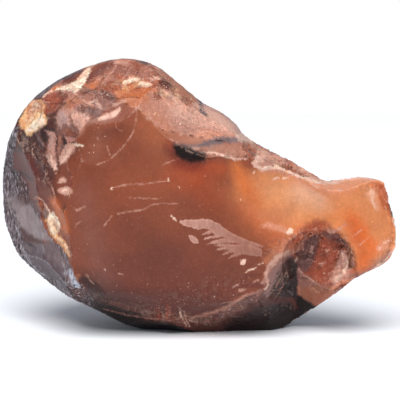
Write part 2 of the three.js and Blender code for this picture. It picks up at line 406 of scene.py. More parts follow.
# The marks on the stone are given as the camera sees them, in the picture's pixels: a brush stroke is
# a line of x, y and half width, and a patch is its corners. Their borders wander and fray a little,
# and narrow ones are patchy, as a thin layer that has half come off.
WANDER = 2.6
WANDER_SWELL = 1.1
WANDER_SHARE = 0.15  # for each pixel of a border's width
FRAY = 1.2
FRAY_SWELL = 0.3
BIT_SWELL = 0.5
BIT_START = 0.35
BIT_CONTRAST = 1.5
MOST_BARE = 0.5
BARE_LOSS = 0.3  # for each pixel of a border's width
MARKED_FRONT = 0.4
FAR = 99
spots = seen_at(points + SOLID_ORIGIN)
wander = rough(WANDER_SWELL)[:, (0, 2)] * WANDER
fray = rough(FRAY_SWELL, 2)[:, (0, 2)]
bits = rough(BIT_SWELL, 2)[:, 1]
in_front = out[:, 1] < MARKED_FRONT


def corner_distance(spots, corners):
    """How far each spot of the picture is outside a patch with these corners, in pixels"""
    reach = np.full(len(spots), 1e9)
    within = np.zeros(len(spots), bool)
    for (x, y), (x_2, y_2) in zip(corners, corners[1:] + corners[:1]):
        reach = np.minimum(reach, stroke(spots, [(x, y, 0), (x_2, y_2, 0)]))
        crosses = (spots[:, 1] < y) != (spots[:, 1] < y_2)
        level = (spots[:, 1] - y) / (y_2 - y if y_2 != y else 1e-9)
        within ^= crosses & (spots[:, 0] < x + level * (x_2 - x))
    return np.where(within, -reach, reach)


def outside(marks, wandering=1.0):
    """How far each vertex is outside the nearest of some marks, in pixels"""
    seen = spots + wandering * wander + FRAY * fray
    found = [(corner_distance if len(mark[0]) == 2 else stroke)(seen, mark) for mark in marks]
    return np.where(in_front, np.min(found, axis=0), FAR)


def paint(tints):
    """Blend the stone's colour to tints: a colour, its strength, its border's width and its marks"""
    for colour, strength, softness, *marks in tints:
        share = np.clip(0.5 - outside(marks, min(1, WANDER_SHARE * softness)) / softness, 0, 1)
        bare = np.clip(1 - BARE_LOSS * softness, 0, MOST_BARE)
        bare = bare * np.clip(BIT_START + BIT_CONTRAST * bits, 0, 1)
        share = (strength * share * share * (3 - 2 * share) * (1 - bare))[:, None]
        tone[:] = tone * (1 - share) + linear(colour) * share


# The ridge, from which the rind has been knocked off, and its colours from each x to the right
BARE_RIDGE = [
    [(88, 66, 3), (96, 62, 4), (120, 56, 6), (138, 54, 6)],
    [(152, 62, 4), (170, 76, 8), (190, 94, 8), (193, 100, 3)],
    [(150, 70, 6), (168, 84, 10), (190, 106, 10)],
    [(209, 108, 5), (216, 112, 10), (240, 132, 13), (262, 150, 17), (284, 162, 16), (304, 172, 13),
     (324, 180, 11), (340, 181, 10), (380, 182, 10)],
    [(392, 190, 6), (398, 230, 6), (392, 262, 6), (360, 284, 6)],
]
BARE_DEPTH = 23
BARE_WANDER = 6
BARE_SWELL = 5.0
BARE_TURN = 0.8
BARE_COLOURS = ((84, "clay"), (200, "rose"), (330, "peach"))
over_ridge = np.min([stroke(spots + wander, line) for line in BARE_RIDGE], axis=0) < 0
shallow = points[:, 1] < BARE_DEPTH + BARE_WANDER * rough(BARE_SWELL)[:, 1]
rind[over_ridge & shallow & (out[:, 1] < BARE_TURN)] = 0
bare_pebble = (rise < -TOUCHES) & (rind < 0.5)
for start, name in BARE_COLOURS:
    tone[bare_pebble & (spots[:, 0] > start)] = linear(name)

# The main face, the scoop and the tongue: colours that run softly into each other
BROAD_TINTS = [
    ("brown", 0.9, 8,
     [(52, 172), (60, 164), (72, 156), (84, 138), (98, 126), (112, 130), (110, 200), (60, 206)]),
    ("brown", 0.85, 20, [(196, 196), (206, 190), (222, 197), (236, 207), (250, 221), (264, 232),
     (280, 242), (268, 256), (240, 246), (206, 230)]),
    # The next four marks darken the main face towards its bottom and lower rim: painted shade, where it
    # turns down from the light overhead
    ("maroon", 0.65, 60, [(110, 280, 20), (170, 285, 36), (230, 285, 20)]),
    ("umber", 0.9, 34, [(88, 286, 8), (104, 298, 12), (130, 306, 12), (165, 314, 9), (215, 310, 5)]),
    ("umber", 0.7, 26, [(78, 278, 5), (92, 286, 11), (114, 296, 10)]),
    ("soot", 0.85, 18, [(92, 296, 5), (112, 307, 9), (140, 317, 7)]),
    # Lighter and warmer towards the top of the main face: painted light from above
    ("tan", 0.3, 40, [(138, 98, 4), (150, 122, 14), (160, 150, 14)]),
    # A broad painted sheen on the left of the main face
    ("mauve", 0.3, 40, [(84, 190, 4), (92, 240, 10), (104, 280, 8)]),
    # Painted shade, darker towards the bottom of the main face
    ("umber", 0.35, 30, [(130, 230, 10), (170, 255, 14), (120, 260, 10)]),
    # Painted light from above, like the tan before it
    ("orange", 0.2, 30, [(134, 98, 3), (146, 112, 8), (156, 136, 6)]),
    ("russet", 0.6, 50, [(120, 180, 8), (165, 190, 20)]),
    ("rust", 0.6, 34, [(176, 176, 6), (200, 180, 16), (212, 194, 8)]),
    ("russet", 0.7, 18, [(216, 190, 4), (232, 208, 6), (248, 222, 4)]),
    # Deeper red under the ledge's lip: the stone's red, with painted shade cast by the lip
    ("deep_red", 0.8, 16, [(170, 148, 3), (180, 164, 4), (204, 168, 4)]),
    ("rust", 0.8, 14, [(206, 164, 5), (222, 168, 5)]),
    ("orange", 0.95, 14, [(236, 166, 5), (243, 182, 7), (256, 205, 6)]),
    ("bright_orange", 0.35, 20, [(240, 176, 5), (250, 198, 5)]),
    # Paler in the middle of the scoop: painted sheen
    ("straw", 0.35, 40, [(276, 190, 6), (300, 200, 14), (322, 206, 6)]),
    ("shell", 0.4, 26, [(300, 190, 8), (322, 198, 9)]),
    ("salmon", 0.6, 12, [(300, 183, 3), (334, 190, 5)]),
    ("rust", 0.6, 22, [(240, 204, 3), (262, 226, 7), (278, 236, 8), (292, 236, 5), (310, 226, 3)]),
    ("russet", 0.5, 12, [(262, 232, 3), (278, 240, 5), (290, 240, 3)]),
    ("bright_orange", 0.95, 16,
     [(352, 218, 6), (360, 232, 10), (372, 248, 7), (362, 266, 5), (366, 256, 8)]),
    ("rust", 0.5, 14, [(350, 222, 4), (356, 238, 6), (362, 254, 4)]),
    ("orange", 0.6, 16, [(318, 222, 3), (336, 216, 5), (350, 208, 4)]),
    ("peach", 0.7, 14, [(330, 202, 6), (352, 202, 5)]),
    ("peach", 0.8, 10, [(348, 186, 5), (364, 192, 7), (372, 214, 4), (380, 236, 7)]),
    # Partly a painted highlight along the tongue's crest
    ("shell", 0.3, 8, [(352, 182, 3), (366, 184, 5), (374, 196, 4), (378, 206, 3)]),
    ("peach", 0.6, 8, [(378, 213, 2), (387, 222, 4), (389, 238, 4)]),
    ("orange", 0.5, 10, [(380, 200, 4), (386, 214, 3)]),
    ("tan", 0.45, 14, [(248, 206, 6), (264, 214, 8), (284, 216, 9), (292, 206, 5)]),
    ("clay", 0.3, 14, [(104, 124, 6), (98, 142, 8), (92, 158, 5)]),
]
# The battered upper left: chips, the cream patches of old crust, the blades and the rim below them
UPPER_LEFT_TINTS = [
    ("maroon", 0.9, 2.5, [(86.8, 77), (97.6, 64.9), (109.7, 60), (116.5, 60), (112.4, 67.6), (104.3, 71.6),
     (94.9, 77), (86.8, 83.8)]),
    ("tan", 0.9, 3,
     [(85.4, 84), (98, 77), (110, 73), (114, 76), (108, 82), (98, 88), (88, 92), (82, 94)]),
    ("orange", 0.7, 3, [(90, 87, 1), (97, 83, 1.5)]),
    ("brown", 0.8, 3, [(96, 88), (106, 80), (114, 76), (120, 84), (116, 92), (104, 94)]),
    ("brick", 0.97, 3, [(41.6, 98), (52, 92.7), (61, 92.7), (67.6, 94), (65, 100.5), (60, 107), (56, 111),
     (45, 115), (43, 107)]),
    ("umber", 0.7, 5, [(60, 94, 3), (66, 96, 2.5), (62, 102, 2)]),
    ("umber", 0.95, 2,
     [(45.5, 114), (56, 111), (59, 108), (59, 114), (57, 121), (57, 128), (48, 128), (45, 121)]),
    ("pink", 0.85, 2.5,
     [(57, 121), (58, 111), (64, 104), (72, 107), (74, 116), (72, 124), (76, 132), (62, 134), (57, 130)]),
    ("ash", 0.6, 4, [(58, 124), (58, 114), (62, 110), (68, 116), (68, 126), (58, 133)]),
    ("tan", 0.9, 4, [(63, 107), (65, 100), (70, 96), (78, 93), (80, 98), (76, 105), (70, 109)]),
    ("orange", 0.6, 4, [(68, 102, 1.5), (72, 98, 1)]),
    ("mauve", 0.75, 4, [(77, 92), (86, 88), (98, 92), (104, 91), (113, 92), (116, 98), (113, 107),
     (100, 112), (88, 112), (80, 106)]),
    ("umber", 0.8, 4, [(80, 91), (86, 88.5), (88, 92), (84, 96), (80, 95)],
     [(104, 94), (109, 91.5), (114.5, 94), (115, 100), (109, 101), (104, 98)],
     [(85.5, 108), (90, 105), (96, 110), (101.5, 116), (98, 118.5), (90, 114)]),
    ("brown", 0.7, 3, [(80, 98, 2), (88, 98, 3), (96, 95, 2)], [(101, 100, 2), (108, 105, 2)]),
    ("shell", 0.6, 2.5, [(90, 103, 1), (96, 101, 2), (100, 107, 2)], [(84, 100, 1), (87, 103, 1)]),
    ("salmon", 0.5, 3, [(86, 101, 1.5), (93, 107, 1.5)]),
    ("pale_pink", 0.9, 2.5,
     [(71.5, 107), (78, 112), (90, 116), (88, 121), (83, 128), (77, 133), (73, 123), (71, 114)]),
    ("mauve", 0.5, 3, [(76, 118, 1), (80, 126, 2)]),
    ("umber", 0.9, 3, [(70, 115, 0.9), (72, 125, 1.8), (77, 131, 2.2)],
     [(57.5, 128), (64, 124), (71, 126), (77, 131), (80, 134), (76, 138), (66, 137), (59, 135)]),
    ("brown", 0.6, 2.5, [(64, 131, 2), (70, 134, 2)]),
    ("clay", 0.7, 4, [(80, 134, 2), (90, 122, 2.5), (102, 119, 1.5)]),
    ("pale_pink", 0.8, 3, [(98, 118), (106, 114), (113.8, 110.5), (119, 107.5), (121.5, 110), (117, 116.5),
     (108, 119), (100, 121)]),
    ("shell", 0.6, 2.5, [(100, 119, 0.6), (108, 116, 1)],
     [(113, 114.5, 1.5), (117, 112.5, 2), (120, 109, 1)],
     [(113.8, 105.4, 0.8), (121, 102, 1), (126, 101, 0.6)]),
    ("umber", 0.45, 18, [(106, 132, 8), (118, 128, 6)]),
    ("russet", 0.5, 12, [(96, 128, 3), (112, 124, 4), (124, 120, 3)]),
    ("soot", 0.93, 3, [(19, 134), (27, 131), (34, 132), (40, 141), (46, 152), (52, 168), (50, 173),
     (43, 164), (34, 158), (27, 153), (19, 147)]),
    ("umber", 0.95, 2.5, [(38, 152), (46, 152), (52, 168), (55, 178), (50, 178), (44, 170), (38, 162)]),
    ("plum", 0.6, 3, [(12, 157), (17, 151), (24, 152), (34, 159), (43, 169), (49, 181), (44, 184),
     (36, 178), (26, 172), (13, 168)]),
    ("mauve", 0.3, 6, [(17, 157, 2), (24, 162, 2)]),
    ("oxblood", 0.6, 6, [(13, 140), (20, 138), (30, 152), (38, 166), (42, 180), (36, 200), (30, 202),
     (25, 190), (19, 176), (12, 170)]),
    ("soot", 0.7, 4, [(13, 136), (22, 136), (30, 150), (26, 154), (14, 152)]),
    ("maroon", 0.75, 4,
     [(27, 176), (33, 181), (40, 179), (46, 183), (52, 190), (54, 199), (46, 204), (33, 199), (27, 186)]),
    ("ink", 0.9, 2.5, [(16, 170.5, 0.8), (24, 174.5, 1.3), (32.5, 180.5, 0.8)]),
    # The blades: their paleness is partly painted reflection of the light overhead
    ("pink", 0.97, 2, [(44.5, 130), (50, 131), (55, 133.5), (56.5, 139), (55.5, 151), (57.5, 169.5),
     (53, 170), (45.5, 155), (48, 145), (48.5, 136)]),
    ("ash", 0.5, 2.5, [(48, 132, 1), (52, 138, 1.5), (51, 148, 1)]),
    ("shell", 0.8, 2, [(46.5, 156), (50, 154), (54, 160), (57.5, 169), (53, 170), (48, 161)],
     [(55, 173, 0.8)]),
    ("mauve", 0.85, 1.5, [(35, 132.5, 0.8), (40, 141, 1.2), (45, 147, 0.5)]),
    ("pale_pink", 0.97, 2, [(60, 164.5), (58.8, 159), (61, 153), (64, 146), (69, 143), (77, 145),
     (74, 149), (70, 156), (65, 163)]),
    # A painted glint on the second blade
    ("cream", 0.9, 2, [(74, 144.5, 0.9), (78, 145, 1), (82, 145.8, 1.3)]),
    ("shell", 0.8, 2, [(62, 162, 1), (66, 157, 1.5), (70, 150, 1)]),
    ("clay", 0.95, 2, [(58.5, 134), (62.5, 138), (61.5, 147), (58, 159), (57, 166), (57, 150)]),
    ("umber", 0.95, 2, [(57, 134, 0.4), (57, 150, 0.5), (58.5, 160, 0.5), (58.5, 172, 0.8)],
     [(63, 140, 0.9), (62.5, 147, 0.9)]),
    ("straw", 0.97, 2.5, [(31, 101), (41, 99.5), (45, 105), (43.5, 112), (47, 117), (46.5, 124), (40, 127),
     (35, 131), (31, 135.5), (26, 135), (24.5, 130), (20, 127), (20.5, 118), (25, 110), (27, 105)]),
    ("tan", 0.75, 4, [(27, 105), (33, 101), (41, 100), (44, 106), (43, 112), (36, 112), (26, 115)]),
    ("peach", 0.85, 3, [(22, 121, 1.2), (24, 128, 1.2)], [(32, 113, 1.5), (28, 118, 1.5)]),
    ("cream", 1.0, 3, [(28, 131, 2), (34, 126, 4), (41, 121, 4), (40, 115, 2)], [(36, 104, 1.2)]),
    ("tan", 0.8, 2, [(28, 118, 1), (32, 113, 1)], [(34, 109, 0.8), (38, 107, 0.8)], [(30, 123, 0.8)]),
    ("slate", 0.85, 3, [(58, 83), (66, 77), (76, 71), (84, 66), (88, 66), (82, 73), (74, 78), (66, 82)]),
    ("shell", 0.9, 1.5, [(43, 96.6, 0.7), (47, 93.5, 0.7), (52, 91, 0.7)]),
    ("cream", 0.95, 1.5, [(55, 90.5), (62, 89.5), (68, 91), (75, 92.5), (81, 89), (85, 83), (88, 76),
     (91, 70), (90, 66.5), (86, 69), (82, 74), (77, 80), (70, 83.6), (64, 85.5), (58, 87)]),
    ("salmon", 0.6, 3, [(79, 80, 1.2), (84, 75, 1.5), (89, 69, 1)], [(66, 87, 1), (72, 86, 1)]),
    ("orange", 0.8, 2, [(53, 90.5, 1), (57, 87.5, 1.3), (61, 86.5, 0.8)]),
    ("oxblood", 0.95, 1.2, [(61.5, 83.5), (66, 79.5), (74.5, 77.5), (73, 81), (68, 83.3)]),
    ("tan", 0.8, 2, [(50, 88.5, 1), (57, 84.5, 1), (62, 81, 0.8)], [(84, 70, 1), (88, 66, 1)]),
    ("orange", 0.75, 10, [(52, 199, 2), (57, 206, 3), (62, 220, 3), (66, 230, 2)]),
    ("bright_orange", 0.5, 6, [(54, 202, 1), (58, 209, 1.5)], [(64, 224, 1), (67, 231, 1)]),
    ("russet", 0.95, 1.5, [(35, 199, 1), (38.5, 199, 1.2), (41, 202.5, 1.5), (38, 204, 1)]),
    ("shell", 0.85, 1.2,
     [(35, 197.5, 0.4), (39, 197.3, 0.4), (42, 201, 0.5), (47.5, 208, 0.7), (50.5, 212.5, 0.8)]),
    ("russet", 0.9, 2, [(38, 218), (42, 219), (47, 219), (49, 228), (46, 228), (42, 223)]),
    ("cream", 1.0, 1.5, [(49.4, 213.5), (53.2, 211.3), (57, 217), (59.8, 223.7), (60, 230), (56, 235),
     (51.3, 233.2), (48.8, 227.5), (47.2, 220.8), (48.4, 218)]),
    ("straw", 0.95, 1.5, [(48.4, 229.4), (53.2, 235), (58.9, 236), (64.6, 240.8), (67.8, 248.4),
     (70.5, 257), (66.5, 254), (61.7, 247), (57, 241.3), (51.3, 235.5)]),
    ("peach", 0.6, 1.5, [(55, 237, 0.6), (60, 243, 0.6), (66, 251, 0.6)],
     [(62, 238, 0.5), (67, 246, 0.5)]),
    ("cream", 0.7, 1.2, [(51, 230, 0.8), (56, 236.5, 0.6), (60, 240, 0.5)],
     [(64, 244, 0.5), (68.5, 252, 0.5)]),
    ("umber", 0.95, 1.3, [(38, 206.8), (42.7, 205.8), (46.5, 209.4), (49.2, 213.4), (48.2, 217.8),
     (43.7, 217.8), (39.9, 214.2), (37, 210.4)]),
    ("mauve", 0.7, 2, [(41, 211, 1), (45, 214.5, 1.2)]),
    ("tan", 0.95, 1.5, [(78, 276.5, 3.2)]),
    # Painted shade: the lower left of the main face darkens as it turns under
    ("soot", 0.8, 6, [(78, 276), (87, 277), (98, 284), (112, 298), (118, 312), (102, 306), (90, 296)]),
    ("pink", 0.9, 1.2,
     [(46.5, 180, 0.4), (50, 184, 0.5), (53.2, 189.5, 0.7), (55, 199, 0.5), (54, 205, 0.3)]),
    ("pale_pink", 0.95, 2.5, [(60, 178), (63, 176.5), (66.5, 179), (66, 182), (61, 183.5), (57, 183)],
     [(57, 190.4), (60.8, 187.6), (65.5, 186), (71, 188), (73, 191), (70.3, 194.2), (64.6, 195.2),
     (58.9, 192.3)]),
]
# The crown, with its chips, pale bruises and dark pits
CROWN_TINTS = [
    ("orange", 0.5, 8, [(120, 97, 4), (131, 92, 5), (144, 97, 5)]),
    ("russet", 0.8, 4,
     [(113, 68), (118, 61), (130, 59), (138, 62), (146, 66), (142, 74), (132, 78), (118, 80)]),
    ("brown", 0.9, 3, [(116, 72, 1.5), (122, 64, 1.5)], [(126, 74, 1), (131, 65, 1.5)],
     [(137, 72, 1), (141, 66, 1)]),
    ("tan", 0.9, 3, [(120, 76, 0.8), (127, 63, 0.8)], [(131, 76, 0.8), (136, 65, 0.8)],
     [(144, 72, 1.5), (150, 70, 2)]),
    ("shell", 0.7, 2, [(115, 63, 0.7), (119, 60.5, 0.8)], [(123, 64, 0.6), (126, 61, 0.6)],
     [(129, 60, 0.6), (133, 61.5, 0.6)]),
    ("russet", 0.7, 5, [(116, 92, 3), (122, 84, 3), (140, 74, 3), (150, 74, 3)]),
    ("mauve", 0.45, 10, [(100, 78, 4), (118, 70, 6), (140, 72, 6), (162, 80, 6), (180, 94, 5)]),
    ("pink", 0.85, 4, [(114, 60, 2), (121, 60, 3), (127, 63, 2)], [(141, 66, 2), (150, 70, 3)]),
    ("brown", 0.7, 4, [(132, 61, 1.5), (138, 66, 2.5), (136, 73, 2)], [(122, 70, 1), (128, 72, 2)]),
    ("brown", 0.6, 5, [(140, 64, 3), (150, 70, 4), (160, 76, 3)]),
    ("salmon", 0.9, 2.5, [(124, 84, 1.5), (128, 80, 2.2), (133, 77.5, 2.5), (138, 79, 2)],
     [(139, 83, 2), (144, 82, 2), (150, 85, 2)]),
    ("cream", 0.85, 3, [(125, 83, 1.4), (130, 79.5, 1.8), (137, 79, 1.6)],
     [(140, 83.5, 1.6), (149, 84.5, 2)]),
    ("peach", 0.8, 4, [(117, 94, 2), (124, 90, 3), (132, 87, 2.5)]),
    ("orange", 0.7, 4, [(141, 88), (147, 88), (158, 89), (156, 93), (145, 93)],
     [(119, 96, 1), (126, 91, 1)]),
    ("brown", 0.9, 2.5, [(153, 94), (158, 92), (162, 96), (160, 101), (154, 100)]),
    ("clay", 0.9, 4,
     [(149, 63, 2), (158, 68, 3), (168, 76, 4), (178, 85, 4), (186, 92, 4), (193, 100, 2)]),
    ("russet", 0.7, 3, [(152, 75, 2), (162, 82, 3), (172, 90, 2.5)],
     [(160, 66, 1), (176, 79, 1.5), (190, 93, 1)]),
    ("soot", 0.97, 4, [(159, 80), (165, 78), (171, 81), (174.5, 89), (168, 89.5), (161, 86)]),
    ("soot", 0.8, 1.5, [(166, 83, 1), (171, 87, 0.8)], [(152, 75, 0.8), (156, 75.5, 0.8)]),
    ("ash", 0.8, 2, [(164, 89, 1), (170, 92, 1.5), (174, 96, 1)]),
    ("shell", 0.8, 2, [(164, 89, 0.5), (172, 98, 0.7), (178, 107, 0.4)],
     [(167, 90, 0.4), (176, 101, 0.6), (183, 110, 0.3)],
     [(160, 91, 0.3), (166, 101, 0.5), (170, 107, 0.2)]),
    ("shell", 0.9, 2, [(151, 77.5, 0.9), (160, 78.5, 1.1)], [(171, 94.5, 1), (175, 97, 1.2)],
     [(176, 100, 1), (179, 104, 0.8)], [(178, 94, 0.6), (182, 97, 0.6)]),
    ("umber", 0.9, 2.5, [(179, 96.5), (185, 96), (189, 98.5), (186, 101), (181, 101)]),
    ("salmon", 0.5, 8, [(166, 100, 4), (184, 108, 4)]),
]
# The grainy slope, the ledge with its grey band of painted sheen and shade, and the chipped ridge over the
# scoop
SLOPE_TINTS = [
    ("rust", 0.4, 14, [(206, 132, 4), (222, 134, 7), (238, 148, 8), (252, 160, 5)]),
    ("umber", 0.2, 14, [(174, 98, 6), (186, 110, 8), (190, 122, 5)]),
    # The pale wash on the slope is partly painted reflection of the light overhead
    ("pale_pink", 0.6, 12, [(180, 112, 8), (206, 120, 8), (228, 130, 5)]),
    ("tan", 0.6, 8, [(156, 116, 2), (172, 134, 3), (190, 140, 3)]),
    ("salmon", 0.5, 8, [(196, 136, 4), (220, 136, 3)]),
    # The grey band over the ledge is painted light: sheen at its left end, and soft shade to the right,
    # deepened by the slate after it
    ("lead", 0.9, 3, [(174, 144, 0.8), (190, 147, 1.2), (204, 144.5, 2), (216, 141, 3.2),
     (228, 139.5, 3.6), (240, 141, 2.2)]),
    ("slate", 0.5, 4, [(200, 146, 1), (214, 142, 2), (228, 140, 2)]),
    ("shell", 0.95, 1.5, [(236, 136.5), (246, 134), (252.7, 141.5), (247, 144), (240, 141.5)]),
    ("cream", 0.7, 1.5, [(240, 138.5, 0.8), (248, 141, 1)]),
    ("pale_pink", 0.8, 3, [(178, 149, 0.5), (186, 148, 1), (198, 148.5, 1)]),
    ("clay", 0.9, 3,
     [(201, 151.7), (215, 145.7), (241, 143.4), (247.5, 159), (239.7, 159.7), (228, 155), (215, 152.5)]),
    ("shell", 0.85, 2,
     [(201, 152, 0.6), (215, 153, 0.7), (228, 156.5, 1), (234, 159, 1.2), (246, 159.5, 0.8)]),
    ("russet", 0.9, 2, [(243, 143.4), (251.4, 143.4), (258, 151), (254, 164), (247.5, 159)]),
    ("pale_pink", 0.95, 2, [(258, 152.5), (264.4, 150), (263, 157.7), (258, 165.5), (254, 165.5)]),
    ("pink", 0.8, 2.5, [(264, 147), (277.4, 156.4), (293, 165.5), (306, 170.7), (318, 173), (330, 181),
     (318, 180), (300, 174), (284, 163), (266, 156)]),
    ("russet", 0.85, 2, [(260.5, 165), (263, 160), (270, 158.5), (280, 162), (276, 165.5), (268, 166.5)],
     [(287, 159, 1), (293, 165, 2), (302, 171, 1.5)], [(311, 173, 1), (322, 178, 1.2)]),
    ("peach", 0.95, 2, [(300, 179), (312, 184.5), (325, 184), (337, 184), (346, 180.5), (360, 179),
     (374, 180), (374, 188), (350, 203), (336, 201), (318, 192)]),
    ("salmon", 0.6, 5, [(318, 188, 3), (336, 190, 4), (350, 188, 4)]),
    ("shell", 0.97, 1.5, [(252, 163, 0.5), (258, 168, 1.2), (267, 168, 1.2), (276, 165.8, 1.2),
     (284, 167, 1.2), (293, 174.6, 1.2), (300.8, 176, 1.2), (311, 177.5, 1.5), (319, 182, 1.5),
     (326, 182.6, 1.2), (337, 182.4, 1)], [(273.5, 178.5, 1), (279, 178, 0.6)],
     [(283, 178.5, 1), (288, 178, 0.8)], [(254, 172, 1)], [(311, 184, 0.8), (318, 187, 1)]),
    ("pink", 0.6, 3, [(262, 171, 1), (276, 170, 1.2), (290, 176, 1)]),
    ("shell", 0.8, 2, [(338, 182.5, 0.8), (348, 179, 1), (362, 178.5, 1.2), (378, 179.5, 1.2)]),
]
